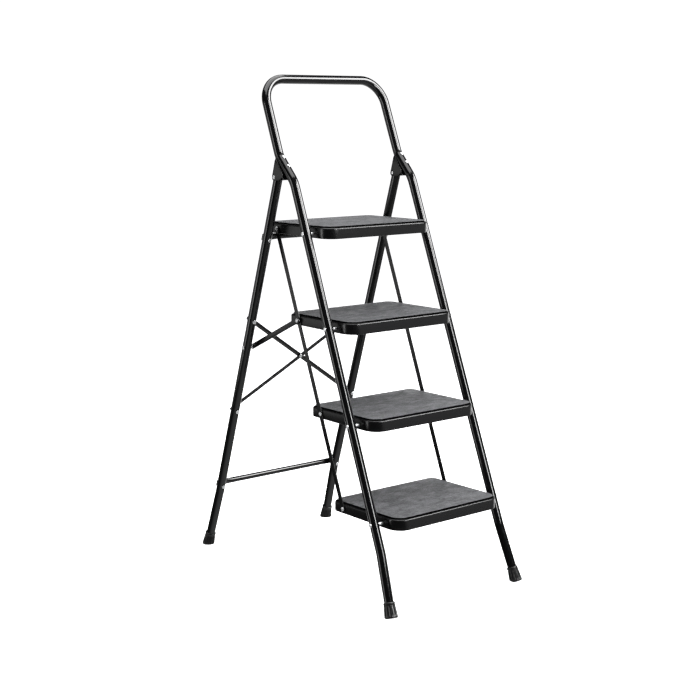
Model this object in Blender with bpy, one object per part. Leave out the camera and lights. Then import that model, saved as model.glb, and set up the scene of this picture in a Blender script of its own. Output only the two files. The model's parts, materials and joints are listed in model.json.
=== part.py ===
"""Folding ladder with four wide treads and a tall hand rail, standing open.

Metres, +Z up, +Y towards the back legs, +X to the right of someone about to climb.
The origin lies on the floor, at the centre of the ladder's footprint.
The front frame is one bent tube.  The back frame hinges on two brackets behind it,
and a tie bar and a link on each side lift the treads as the back frame folds in.
"""
import math

import bmesh
import bpy
from mathutils import Matrix, Vector

# General
GAP = 0.0003
SIDES = {"left": -1.0, "right": 1.0}
ROUND_SIDES = 8

# Frame tube
TUBE_RADIUS = 0.0125
TUBE_WALL = 0.0012
TUBE_SIDES = 12
ARC_STEP = math.radians(14.0)

# Front rails: half spacing and depth as straight lines over the height
RAIL_X = 0.2134
RAIL_X_RUN = -0.0057
RAIL_Y = -0.4109
RAIL_Y_RUN = 0.3858
RAIL_BEND_Z = 0.150
FRONT_FOOT = Vector((0.2258, -0.4085, 0.0))

# Hand rail above the rails: lower kink, upper kink and the closed top
LOWER_KINK_Z = 1.073
UPPER_KINK = Vector((0.2090, 0.0638, 1.138))
HANDLE_CORNER = Vector((0.2070, 0.1429, 1.3397))
FOOT_BEND_RADIUS = 0.060
LOWER_KINK_RADIUS = 0.090
UPPER_KINK_RADIUS = 0.052
HANDLE_RADIUS = 0.070

# Back legs
LEG_X = 0.2136
LEG_X_RUN = -0.0039
LEG_Y = 0.4098
LEG_Y_RUN = -0.3155
LEG_BEND_Z = 0.172
HINGE_Z = 1.0829
LEG_PAST_HINGE = 0.016
BACK_FOOT = Vector((0.2219, 0.4083, 0.0))

# Rubber feet: distance along the leg from the floor, radius
FOOT_LENGTH = 0.039
FOOT_SOLE_START = -0.0015
FOOT_SOLE_RADIUS = 0.0176
FOOT_SIDES = [(0.012, 0.0169), (0.024, 0.0157), (0.0328, 0.0147)]
FOOT_COLLAR = [(0.0336, 0.0151), (0.0372, 0.0149)]
FOOT_MOUTH_RADIUS = 0.0140
FOOT_SOCKET_FLOOR = 0.012
FOOT_RADIAL_FACES = 16

# Treads: heights and depths are measured from the tread's pivot
TREAD_COUNT = 4
TREAD_PITCH = 0.240
LOWEST_PIVOT_Z = 0.2204
TREAD_HALF_WIDTH = 0.1843
TREAD_FRONT = -0.060
TREAD_BACK = 0.208
TREAD_SKIRT_FRONT = -0.0130
TREAD_SKIRT_BACK = -0.0092
TREAD_SHOULDER = 0.0125
TREAD_SHOULDER_RADIUS = 0.0035
TREAD_DECK = 0.0160
TREAD_SHEET = 0.0012
TREAD_FRONT_RADIUS = 0.038
TREAD_BACK_RADIUS = 0.026
TREAD_CORNER_STEPS = 5
MAT_INSET = 0.0062
MAT_TOP = 0.0203
MAT_CHAMFER = 0.0008

# Tie bars and links, flat strips standing on edge beside the treads
TIE_PIVOT = Vector((0.0, 0.1562, 0.0030))
TIE_INNER_X = 0.1851
STRIP_THICKNESS = 0.0020
STRIP_WIDTH = 0.015
STRIP_END = 0.008
LINK_TREAD = 3
LINK_SIDE_GAP = 0.0006
LINK_LEG_Z = 0.608

# Cross members behind the back legs: heights of their rivets on the leg line
UPPER_CROSSBAR_Z = 0.916
LOWER_CROSSBAR_Z = 0.187
CROSSBAR_RADIUS = 0.008
CROSSBAR_FLAT_WIDTH = 0.020
CROSSBAR_FLAT_THICKNESS = 0.003
CROSSBAR_OVERHANG = 0.0065
BRACE_TOP_Z = 0.686
BRACE_BOTTOM_Z = 0.420
BRACE_WIDTH = 0.0125
BRACE_THICKNESS = 0.0022
BRACE_BOW = 0.0015

# Hinge bracket, in the plane across the kinked stretch of the tube: a point is
# (up along the tube, out behind it), from the middle between the two kinks
BRACKET_SHEET = 0.0020
BRACKET_CHEEK_GAP = 0.0138
BRACKET_APEX = [(0.0370, 0.0085), (0.0395, 0.0010)]
BRACKET_FRONT = (-0.0125, 0.0075)
BRACKET_TAIL = -0.0255
BRACKET_TAIL_LIP = 0.0006
BRACKET_LOBE_RADIUS = 0.0090
BRACKET_LOBE_START = 146.0
BRACKET_LOBE_SWEEP = 107.0
BRACKET_LOBE_STEPS = 8
BRACKET_HEEL = (-0.0120, 0.0300)
BRACKET_TOE = -0.0165
BRACKET_RIVETS = {"upper": 0.0315, "lower": 0.0005}

# Fasteners
STEP_PIN_RADIUS = 0.0030
STEP_SPACER_RADIUS = 0.0036
HINGE_PIN_RADIUS = 0.0035
RIVET_RADIUS = 0.0025
BRACKET_RIVET_RADIUS = 0.0030
HEAD_RADIUS = 0.0052
HEAD_HEIGHT = 0.0024
TAIL_HEIGHT = 0.0016
HOLE_CLEARANCE = 0.0003


def rail_point(z):
    """Centre of the right front rail at height z."""
    return Vector((RAIL_X + RAIL_X_RUN * z, RAIL_Y + RAIL_Y_RUN * z, z))


def leg_point(z):
    """Centre of the straight part of the right back leg at height z."""
    return Vector((LEG_X + LEG_X_RUN * z, LEG_Y + LEG_Y_RUN * z, z))


def mirrored(point, side):
    """The right-hand point on the asked side."""
    return Vector((side * point.x, point.y, point.z))


def pivot_height(number):
    """Height of a tread's pivot; tread 1 is the lowest."""
    return LOWEST_PIVOT_Z + (number - 1) * TREAD_PITCH


def tread_pivot(number):
    """The tread's pivot line where it crosses the ladder's middle plane."""
    centre = rail_point(pivot_height(number))
    return Vector((0.0, centre.y, centre.z))


LEG_UP = (leg_point(1.0) - leg_point(0.0)).normalized()
LEG_BACK = Vector((0.0, LEG_UP.z, -LEG_UP.y)).normalized()
HINGE = leg_point(HINGE_Z)
LINK_INNER_X = TIE_INNER_X + STRIP_THICKNESS + GAP + HEAD_HEIGHT + LINK_SIDE_GAP
LINK_LEG_PIVOT = leg_point(LINK_LEG_Z)
LOWER_KINK = rail_point(LOWER_KINK_Z)
KINK_MIDDLE = (LOWER_KINK + UPPER_KINK) / 2
KINK_UP = Vector((0.0, UPPER_KINK.y - LOWER_KINK.y, UPPER_KINK.z - LOWER_KINK.z)).normalized()
KINK_BACK = Vector((0.0, KINK_UP.z, -KINK_UP.y))
BRACKET_X = (HINGE.x + KINK_MIDDLE.x) / 2
ACROSS = Vector((1.0, 0.0, 0.0))


# ---------------------------------------------------------------- mesh helpers

def loft(loops, closed=False):
    """Skin equal loops of points; the ends are capped unless the loops close up."""
    shape = bmesh.new()
    rows = [[shape.verts.new(point) for point in loop] for loop in loops]
    pairs = list(zip(rows, rows[1:]))
    if closed:
        pairs.append((rows[-1], rows[0]))
    for lower, upper in pairs:
        for index in range(len(lower)):
            after = (index + 1) % len(lower)
            shape.faces.new((lower[index], lower[after], upper[after], upper[index]))
    if not closed:
        shape.faces.new(rows[0])
        shape.faces.new(rows[-1])
    return finished(shape)


def finished(shape):
    """Turn a closed bmesh outward and hand it back as a smooth-shaded mesh."""
    bmesh.ops.recalc_face_normals(shape, faces=shape.faces)
    mesh = bpy.data.meshes.new("shape")
    shape.to_mesh(mesh)
    shape.free()
    mesh.shade_smooth()
    mesh.set_sharp_from_angle(angle=math.radians(35.0))
    return mesh


def perpendicular(direction):
    """A unit vector across a direction."""
    helper = ACROSS if abs(direction.x) < 0.9 else Vector((0.0, 0.0, 1.0))
    return direction.cross(helper).normalized()


def ring(centre, direction, start, radius, sides):
    """Points of a circle across a direction, the first one towards start."""
    other = direction.cross(start).normalized()
    points = []
    for index in range(sides):
        turn = 2 * math.pi * index / sides
        points.append(centre + radius * (math.cos(turn) * start + math.sin(turn) * other))
    return points


def turned(profile, origin, direction, sides=ROUND_SIDES):
    """A body turned about a line; the profile holds (distance, radius) in order."""
    start = perpendicular(direction)
    return loft([ring(origin + distance * direction, direction, start, radius, sides)
                 for distance, radius in profile])


def rounded_path(corners, radii):
    """Straight runs between the corners, with an arc of the given radius at each."""
    path = [corners[0]]
    for before, corner, after, radius in zip(corners, corners[1:], corners[2:], radii):
        inward = (before - corner).normalized()
        outward = (after - corner).normalized()
        turn = math.pi - inward.angle(outward)
        setback = radius * math.tan(turn / 2)
        bisector = (inward + outward).normalized()
        centre = corner + bisector * (radius / math.cos(turn / 2))
        first = corner + inward * setback - centre
        axis = inward.cross(outward).normalized()
        steps = max(1, math.ceil(turn / ARC_STEP))
        for step in range(steps + 1):
            path.append(centre + Matrix.Rotation(-turn * step / steps, 3, axis) @ first)
    path.append(corners[-1])
    return path


def bent_tube(path):
    """An open-ended steel tube that follows the path."""
    outer = []
    inner = []
    start = perpendicular(path[1] - path[0])
    last = (path[1] - path[0]).normalized()
    for index, centre in enumerate(path):
        before = path[max(index - 1, 0)]
        after = path[min(index + 1, len(path) - 1)]
        direction = ((after - centre).normalized() + (centre - before).normalized()).normalized()
        start = last.rotation_difference(direction) @ start
        last = direction
        outer.append(ring(centre, direction, start, TUBE_RADIUS, TUBE_SIDES))
        inner.append(ring(centre, direction, start, TUBE_RADIUS - TUBE_WALL, TUBE_SIDES))
    return loft(outer + inner[::-1], closed=True)


def extruded(outline, depth):
    """A plate: an outline of points carried along the depth vector."""
    return loft([outline, [point + depth for point in outline]])


def drilled(mesh, holes):
    """Cut round holes, each (centre, direction, half length, pin radius)."""
    tools = bmesh.new()
    for centre, direction, reach, radius in holes:
        cut = radius + HOLE_CLEARANCE
        tool = turned([(-reach, cut), (reach, cut)], centre, direction)
        tools.from_mesh(tool)
        bpy.data.meshes.remove(tool)
    blank = bpy.data.objects.new("blank", mesh)
    drill = bpy.data.objects.new("drill", finished(tools))
    for item in (blank, drill):
        bpy.context.scene.collection.objects.link(item)
    cut = blank.modifiers.new("holes", "BOOLEAN")
    cut.operation = "DIFFERENCE"
    cut.object = drill
    graph = bpy.context.evaluated_depsgraph_get()
    result = bpy.data.meshes.new_from_object(blank.evaluated_get(graph))
    for item in (blank, drill):
        bpy.data.objects.remove(item)
    return result


# ------------------------------------------------------------- scene helpers

def clear_scene():
    """Remove whatever the file holds."""
    for item in list(bpy.data.objects):
        bpy.data.objects.remove(item)


def finish(name, color, roughness, metallic):
    """One Principled material."""
    material = bpy.data.materials.new(name)
    material.use_nodes = True
    shader = material.node_tree.nodes["Principled BSDF"]
    shader.inputs["Base Color"].default_value = (*color, 1.0)
    shader.inputs["Roughness"].default_value = roughness
    shader.inputs["Metallic"].default_value = metallic
    return material


def add_pivot(name, place):
    """An empty on a joint's axis, parent of all that turns about it."""
    pivot = bpy.data.objects.new(name, None)
    pivot.location = place
    pivot.empty_display_size = 0.05
    bpy.context.scene.collection.objects.link(pivot)
    return pivot


def add_piece(name, mesh, material, pivot):
    """Link one named piece whose mesh is measured from its pivot."""
    if mesh.users == 0:
        mesh.materials.append(material)
    piece = bpy.data.objects.new(name, mesh)
    piece.parent = pivot
    bpy.context.scene.collection.objects.link(piece)


def add_placed(name, mesh, material, pivot):
    """Link one named piece whose mesh is measured from the ladder's origin."""
    mesh.transform(Matrix.Translation(-pivot.location))
    add_piece(name, mesh, material, pivot)


# ------------------------------------------------------------------ fasteners

def domed_head(face, outward):
    """Profile of a rivet head that grows outward from a face, edge to crown."""
    return [(face, HEAD_RADIUS),
            (face + outward * 0.55 * HEAD_HEIGHT, 0.92 * HEAD_RADIUS),
            (face + outward * HEAD_HEIGHT, 0.55 * HEAD_RADIUS)]


def pin_profile(near, far, shank):
    """A pin from a flat clinched tail at near to a domed head at far."""
    return [(near - TAIL_HEIGHT, 0.75 * HEAD_RADIUS), (near, 0.85 * HEAD_RADIUS),
            (near, shank), (far, shank)] + domed_head(far, 1.0)


def step_pin(number, side):
    """Pivot pin through rail and tread skirt, with a spacer between the two."""
    centre = rail_point(pivot_height(number))
    rail_inner = centre.x - TUBE_RADIUS - GAP
    rail_outer = centre.x + TUBE_RADIUS + GAP
    skirt_inner = TREAD_HALF_WIDTH - TREAD_SHEET - GAP
    skirt_outer = TREAD_HALF_WIDTH + GAP
    profile = pin_profile(skirt_inner, rail_outer, STEP_PIN_RADIUS)
    spacer = [(skirt_outer, STEP_PIN_RADIUS), (skirt_outer, STEP_SPACER_RADIUS),
              (rail_inner, STEP_SPACER_RADIUS), (rail_inner, STEP_PIN_RADIUS)]
    profile[3:3] = spacer
    return turned(profile, tread_pivot(number), side * ACROSS)


def tie_rivet(number, side):
    """Rivet through tread skirt and tie bar."""
    skirt_inner = TREAD_HALF_WIDTH - TREAD_SHEET - GAP
    profile = pin_profile(skirt_inner, TIE_INNER_X + STRIP_THICKNESS + GAP, RIVET_RADIUS)
    return turned(profile, tread_pivot(number) + TIE_PIVOT, side * ACROSS)


def link_tread_rivet(side):
    """Rivet in the link's tread end, flush inside so that it clears the tie bar's rivet."""
    outer = LINK_INNER_X + STRIP_THICKNESS + GAP
    profile = [(LINK_INNER_X, RIVET_RADIUS), (outer, RIVET_RADIUS)] + domed_head(outer, 1.0)
    return turned(profile, tread_pivot(LINK_TREAD) + TIE_PIVOT, side * ACROSS)


def hinge_pin(side):
    """Pin through both bracket cheeks and the top of the back leg."""
    face = BRACKET_CHEEK_GAP + BRACKET_SHEET + GAP
    profile = pin_profile(-face, face, HINGE_PIN_RADIUS)
    return turned(profile, mirrored(Vector((BRACKET_X, HINGE.y, HINGE.z)), side), side * ACROSS)


def link_leg_rivet(side):
    """Rivet through the link and the back leg, with a spacer between the two."""
    near = LINK_INNER_X - GAP - LINK_LEG_PIVOT.x
    spacer = near + STRIP_THICKNESS + 2 * GAP
    inner = -TUBE_RADIUS - GAP
    outer = TUBE_RADIUS + GAP
    profile = pin_profile(near, outer, RIVET_RADIUS)
    profile[3:3] = [(spacer, RIVET_RADIUS), (spacer, HEAD_RADIUS), (inner, HEAD_RADIUS),
                    (inner, RIVET_RADIUS)]
    return turned(profile, mirrored(LINK_LEG_PIVOT, side), side * ACROSS)


def frame_rivet(z, side, plate):
    """Rivet from the front of the back leg through a plate on its back."""
    front = TUBE_RADIUS + GAP
    back = TUBE_RADIUS + 2 * GAP + plate
    profile = pin_profile(-back, front, RIVET_RADIUS)
    return turned(profile, mirrored(leg_point(z), side), -LEG_BACK)


def bracket_rivet(place, side):
    """Tubular rivet through the kinked tube, its head a ring round a dimple."""
    front = -TUBE_RADIUS - 2 * GAP
    back = TUBE_RADIUS + 2 * GAP + BRACKET_SHEET
    profile = [(front - 0.3 * HEAD_HEIGHT, 0.35 * HEAD_RADIUS),
               (front - 0.8 * HEAD_HEIGHT, 0.55 * HEAD_RADIUS),
               (front - 0.7 * HEAD_HEIGHT, 0.90 * HEAD_RADIUS),
               (front, HEAD_RADIUS),
               (front, BRACKET_RIVET_RADIUS), (back, BRACKET_RIVET_RADIUS),
               (back, 0.9 * HEAD_RADIUS), (back + TAIL_HEIGHT, 0.8 * HEAD_RADIUS)]
    origin = mirrored(KINK_MIDDLE, side) + place * KINK_UP
    return turned(profile, origin, KINK_BACK)


# --------------------------------------------------------------------- frames

def front_corners():
    """Corner points of the front tube, from the left foot over the top to the right."""
    bend = rail_point(RAIL_BEND_Z)
    upward = (bend - FRONT_FOOT).normalized()
    end = FRONT_FOOT + (FOOT_SOCKET_FLOOR + GAP) * upward
    half = [end, bend, LOWER_KINK, UPPER_KINK, HANDLE_CORNER]
    return [mirrored(point, -1.0) for point in half] + half[::-1]


def front_tube():
    """The two rails and the hand rail, bent from one tube and drilled for its pins."""
    radii = [FOOT_BEND_RADIUS, LOWER_KINK_RADIUS, UPPER_KINK_RADIUS, HANDLE_RADIUS]
    holes = []
    for side in SIDES.values():
        for number in range(1, TREAD_COUNT + 1):
            centre = mirrored(rail_point(pivot_height(number)), side)
            holes.append((centre, ACROSS, 2 * TUBE_RADIUS, STEP_PIN_RADIUS))
        for place in BRACKET_RIVETS.values():
            centre = mirrored(KINK_MIDDLE, side) + place * KINK_UP
            holes.append((centre, KINK_BACK, 2 * TUBE_RADIUS, BRACKET_RIVET_RADIUS))
    tube = bent_tube(rounded_path(front_corners(), radii + radii[::-1]))
    return drilled(tube, holes)


def back_leg(side):
    """One back leg, flared at the foot and drilled for hinge, link and cross members."""
    bend = leg_point(LEG_BEND_Z)
    upward = (bend - BACK_FOOT).normalized()
    corners = [BACK_FOOT + (FOOT_SOCKET_FLOOR + GAP) * upward, bend,
               HINGE + LEG_PAST_HINGE * LEG_UP]
    tube = bent_tube(rounded_path([mirrored(point, side) for point in corners],
                                  [FOOT_BEND_RADIUS]))
    holes = [(mirrored(HINGE, side), ACROSS, 2 * TUBE_RADIUS, HINGE_PIN_RADIUS),
             (mirrored(LINK_LEG_PIVOT, side), ACROSS, 2 * TUBE_RADIUS, RIVET_RADIUS)]
    for z in (LOWER_CROSSBAR_Z, BRACE_BOTTOM_Z, BRACE_TOP_Z, UPPER_CROSSBAR_Z):
        holes.append((mirrored(leg_point(z), side), LEG_BACK, 2 * TUBE_RADIUS, RIVET_RADIUS))
    return drilled(tube, holes)


def rubber_foot(floor_point, bend):
    """A flared cup square to its leg, with the low half of its sole cut level."""
    upward = (bend - floor_point).normalized()
    start = perpendicular(upward)

    def level(distance, radius):
        return ring(floor_point + distance * upward, upward, start, radius, FOOT_RADIAL_FACES)

    outside = [(FOOT_SOLE_START, FOOT_SOLE_RADIUS)] + FOOT_SIDES + FOOT_COLLAR
    socket = TUBE_RADIUS + GAP
    inside = [(FOOT_LENGTH, FOOT_MOUTH_RADIUS), (FOOT_LENGTH, socket),
              (FOOT_SOCKET_FLOOR, socket)]
    cup = loft([level(*pair) for pair in outside + inside])
    return levelled(cup)


def levelled(mesh):
    """Cut off whatever hangs below the floor and close the cut."""
    shape = bmesh.new()
    shape.from_mesh(mesh)
    everything = shape.verts[:] + shape.edges[:] + shape.faces[:]
    bmesh.ops.bisect_plane(shape, geom=everything, dist=0.000001, plane_co=(0.0, 0.0, 0.0),
                           plane_no=(0.0, 0.0, 1.0), clear_inner=True)
    bmesh.ops.holes_fill(shape, edges=[edge for edge in shape.edges if edge.is_boundary])
    return finished(shape)


def flattened_section(centre, wide, thick, width, thickness):
    """A tube's section squeezed to a width and a thickness, with round edges."""
    points = []
    for index in range(TUBE_SIDES):
        turn = 2 * math.pi * (index + 0.5) / TUBE_SIDES
        shift = math.copysign((width - thickness) / 2, math.cos(turn))
        along = shift + math.cos(turn) * thickness / 2
        points.append(centre + along * wide + math.sin(turn) * thickness / 2 * thick)
    return points


def crossbar(z):
    """A round bar between the back legs, its ends pressed flat and riveted on."""
    middle = leg_point(z)
    offset = TUBE_RADIUS + GAP + CROSSBAR_FLAT_THICKNESS / 2
    line = Vector((0.0, middle.y, middle.z)) + offset * LEG_BACK
    end = middle.x + CROSSBAR_OVERHANG
    flat = (CROSSBAR_FLAT_WIDTH, CROSSBAR_FLAT_THICKNESS)
    full = (2 * CROSSBAR_RADIUS, 2 * CROSSBAR_RADIUS)
    half = [(end, (0.8 * flat[0], flat[1])), (end - 0.002, flat),
            (middle.x - 0.016, flat), (middle.x - 0.026, (0.0185, 0.0085)),
            (middle.x - 0.038, (0.0165, 0.0145)), (middle.x - 0.046, full)]
    stations = [(-x, size) for x, size in half] + half[::-1]
    bar = loft([flattened_section(line + x * ACROSS, LEG_UP, LEG_BACK, *size)
                for x, size in stations])
    holes = [(mirrored(middle, side) + offset * LEG_BACK, LEG_BACK, 0.006, RIVET_RADIUS)
             for side in SIDES.values()]
    return drilled(bar, holes)


def brace_end(z, side):
    """Centre of a brace's end where it lies on the back of a leg."""
    offset = TUBE_RADIUS + GAP + BRACE_THICKNESS / 2
    return mirrored(leg_point(z), side) + offset * LEG_BACK


def crossing_point(left, right):
    """Where the line between two brace ends crosses the ladder's middle plane."""
    return left.lerp(right, left.x / (left.x - right.x))


def diagonal_brace(left_z, right_z, bow):
    """A flat strip between the legs that bows a little to pass its neighbour."""
    left = brace_end(left_z, -1.0)
    right = brace_end(right_z, 1.0)
    along = (right - left).normalized()
    wide = along.cross(LEG_BACK).normalized()
    length = (right - left).length
    half = BRACE_WIDTH / 2
    stations = [(-STRIP_END, 0.5), (-0.6 * STRIP_END, 0.85), (0.0, 1.0), (0.25 * length, 1.0),
                (0.45 * length, 1.0), (0.55 * length, 1.0), (0.75 * length, 1.0), (length, 1.0),
                (length + 0.6 * STRIP_END, 0.85), (length + STRIP_END, 0.5)]
    sections = []
    for distance, share in stations:
        inside = min(max(distance / length, 0.0), 1.0)
        lift = bow * min(1.0, math.sin(math.pi * inside) / math.sin(0.45 * math.pi))
        centre = left + distance * along + lift * LEG_BACK
        reach = share * half * wide
        depth = BRACE_THICKNESS / 2 * LEG_BACK
        sections.append([centre - reach - depth, centre + reach - depth,
                         centre + reach + depth, centre - reach + depth])
    crossing = crossing_point(left, right)
    holes = [(place, LEG_BACK, 0.008, RIVET_RADIUS) for place in (left, right, crossing)]
    return drilled(loft(sections), holes)


def brace_centre_rivet():
    """The rivet where the two braces cross."""
    middle = crossing_point(brace_end(BRACE_TOP_Z, -1.0), brace_end(BRACE_BOTTOM_Z, 1.0))
    face = BRACE_BOW + BRACE_THICKNESS / 2 + GAP
    return turned(pin_profile(-face, face, RIVET_RADIUS), middle, -LEG_BACK)


# -------------------------------------------------------------- hinge bracket

def bracket_outline():
    """Side outline of a bracket cheek with its web, as (up, back) pairs."""
    web = TUBE_RADIUS + GAP
    lip = web - BRACKET_TAIL_LIP
    hinge = HINGE - KINK_MIDDLE
    lobe = (hinge.dot(KINK_UP), hinge.dot(KINK_BACK))
    points = [BRACKET_FRONT, (BRACKET_TOE, lip), (BRACKET_TAIL, lip),
              (BRACKET_TAIL, web + BRACKET_SHEET), (BRACKET_TOE, web + BRACKET_SHEET),
              BRACKET_HEEL]
    for step in range(BRACKET_LOBE_STEPS + 1):
        turn = math.radians(BRACKET_LOBE_START - BRACKET_LOBE_SWEEP * step / BRACKET_LOBE_STEPS)
        points.append((lobe[0] + BRACKET_LOBE_RADIUS * math.cos(turn),
                       lobe[1] + BRACKET_LOBE_RADIUS * math.sin(turn)))
    return points + BRACKET_APEX


def hinge_bracket(side):
    """A web behind the kinked tube, its two cheeks on both sides of tube and leg."""
    centre = mirrored(Vector((BRACKET_X, KINK_MIDDLE.y, KINK_MIDDLE.z)), side)
    width = BRACKET_CHEEK_GAP + BRACKET_SHEET
    outline = [centre - width * ACROSS + up * KINK_UP + back * KINK_BACK
               for up, back in bracket_outline()]
    block = extruded(outline, 2 * width * ACROSS)
    web_front = TUBE_RADIUS + GAP
    web_back = web_front + BRACKET_SHEET
    reach = 0.06
    for near, far in ((web_front - reach, web_front), (web_back, web_back + reach)):
        cavity = [centre - BRACKET_CHEEK_GAP * ACROSS + up * KINK_UP + back * KINK_BACK
                  for up, back in ((-reach, near), (reach, near), (reach, far), (-reach, far))]
        block = carved(block, extruded(cavity, 2 * BRACKET_CHEEK_GAP * ACROSS))
    holes = [(mirrored(HINGE, side), ACROSS, 0.03, HINGE_PIN_RADIUS)]
    for place in BRACKET_RIVETS.values():
        rivet = mirrored(KINK_MIDDLE, side) + place * KINK_UP
        holes.append((rivet + TUBE_RADIUS * KINK_BACK, KINK_BACK, 0.006, BRACKET_RIVET_RADIUS))
    return drilled(block, holes)


def carved(mesh, tool_mesh):
    """Take one closed shape out of another."""
    blank = bpy.data.objects.new("blank", mesh)
    tool = bpy.data.objects.new("tool", tool_mesh)
    for item in (blank, tool):
        bpy.context.scene.collection.objects.link(item)
    cut = blank.modifiers.new("cavity", "BOOLEAN")
    cut.operation = "DIFFERENCE"
    cut.object = tool
    graph = bpy.context.evaluated_depsgraph_get()
    result = bpy.data.meshes.new_from_object(blank.evaluated_get(graph))
    for item in (blank, tool):
        bpy.data.objects.remove(item)
    return result


# --------------------------------------------------------------------- treads

def tread_loop(inset, height):
    """The tread's rounded outline, drawn in by an inset, at a height over the pivot."""
    half = TREAD_HALF_WIDTH - inset
    corners = [(half, TREAD_FRONT + inset, TREAD_FRONT_RADIUS - inset, -90.0),
               (half, TREAD_BACK - inset, TREAD_BACK_RADIUS - inset, 0.0),
               (-half, TREAD_BACK - inset, TREAD_BACK_RADIUS - inset, 90.0),
               (-half, TREAD_FRONT + inset, TREAD_FRONT_RADIUS - inset, 180.0)]
    loop = []
    for x, y, radius, start in corners:
        centre_x = x - math.copysign(radius, x)
        centre_y = y + radius if start in (-90.0, 180.0) else y - radius
        for step in range(TREAD_CORNER_STEPS + 1):
            turn = math.radians(start + 90.0 * step / TREAD_CORNER_STEPS)
            loop.append(Vector((centre_x + radius * math.cos(turn),
                                centre_y + radius * math.sin(turn), height)))
    return loop


def skirt_edge(inset):
    """The skirt's lower edge, which rises a little towards the back."""
    slope = (TREAD_SKIRT_BACK - TREAD_SKIRT_FRONT) / (TREAD_BACK - TREAD_FRONT)
    loop = tread_loop(inset, 0.0)
    for point in loop:
        point.z = TREAD_SKIRT_FRONT + slope * (point.y - TREAD_FRONT)
    return loop


def step_tray():
    """A pressed pan with a rounded shoulder, open underneath and drilled in its skirts."""
    outside = [tread_loop(TREAD_SHOULDER_RADIUS * (1 - math.sin(turn)),
                          TREAD_SHOULDER + TREAD_SHOULDER_RADIUS * math.cos(turn))
               for turn in (0.0, math.radians(45.0), math.radians(90.0))]
    inside = [tread_loop(TREAD_SHEET, TREAD_SHOULDER),
              tread_loop(TREAD_SHOULDER_RADIUS, TREAD_DECK - TREAD_SHEET)]
    edge = [skirt_edge(0.0), skirt_edge(TREAD_SHEET)]
    pan = loft(outside + edge + inside)
    holes = []
    for side in SIDES.values():
        edge = side * TREAD_HALF_WIDTH * ACROSS
        holes.append((edge, ACROSS, 0.005, STEP_PIN_RADIUS))
        holes.append((edge + TIE_PIVOT, ACROSS, 0.005, RIVET_RADIUS))
    return drilled(pan, holes)


def step_mat():
    """The mat that lies inside the tray's rim."""
    profile = [(MAT_INSET, TREAD_DECK + GAP), (MAT_INSET, MAT_TOP - MAT_CHAMFER),
               (MAT_INSET + MAT_CHAMFER, MAT_TOP)]
    return loft([tread_loop(inset, height) for inset, height in profile])


# ---------------------------------------------------------- tie bars and links

def strip(start, end, inner_x, side, hole_places):
    """A flat strip on edge between two pivots, with rounded ends and rivet holes."""
    along = (end - start).normalized()
    wide = Vector((0.0, -along.z, along.y))
    half = STRIP_WIDTH / 2
    outline = []
    for centre, first in ((end, 90.0), (start, 270.0)):
        for step in range(7):
            turn = math.radians(first - 30.0 * step)
            outline.append(centre + half * (math.cos(turn) * along + math.sin(turn) * wide))
    plane = side * inner_x * ACROSS
    plate = extruded([point + plane for point in outline], side * STRIP_THICKNESS * ACROSS)
    holes = [(place + plane, ACROSS, 0.006, RIVET_RADIUS) for place in hole_places]
    return drilled(plate, holes)


def tie_bar(side):
    """The bar that keeps all the treads parallel."""
    places = [tread_pivot(number) + TIE_PIVOT for number in range(1, TREAD_COUNT + 1)]
    return strip(places[0], places[-1], TIE_INNER_X, side, places)


def link(side):
    """The link from the third tread to the back leg, outside the tie bar's rivets."""
    start = tread_pivot(LINK_TREAD) + TIE_PIVOT
    end = Vector((0.0, LINK_LEG_PIVOT.y, LINK_LEG_PIVOT.z))
    return strip(start, end, LINK_INNER_X, side, [start, end])


# ------------------------------------------------------------------- assembly

def build_front_frame(finishes):
    """Everything that stays still: the bent tube, its brackets, pins and feet."""
    pivot = add_pivot("front_frame", Vector((0.0, 0.0, 0.0)))
    add_placed("front_tube", front_tube(), finishes["enamel"], pivot)
    for name, side in SIDES.items():
        foot = rubber_foot(mirrored(FRONT_FOOT, side), mirrored(rail_point(RAIL_BEND_Z), side))
        add_placed(f"front_foot_{name}", foot, finishes["rubber"], pivot)
        add_placed(f"hinge_bracket_{name}", hinge_bracket(side), finishes["enamel"], pivot)
        add_placed(f"hinge_pin_{name}", hinge_pin(side), finishes["zinc"], pivot)
        for position, place in BRACKET_RIVETS.items():
            add_placed(f"bracket_rivet_{name}_{position}", bracket_rivet(place, side),
                       finishes["zinc"], pivot)
        for number in range(1, TREAD_COUNT + 1):
            add_placed(f"step_pin_{number}_{name}", step_pin(number, side),
                       finishes["zinc"], pivot)


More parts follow.
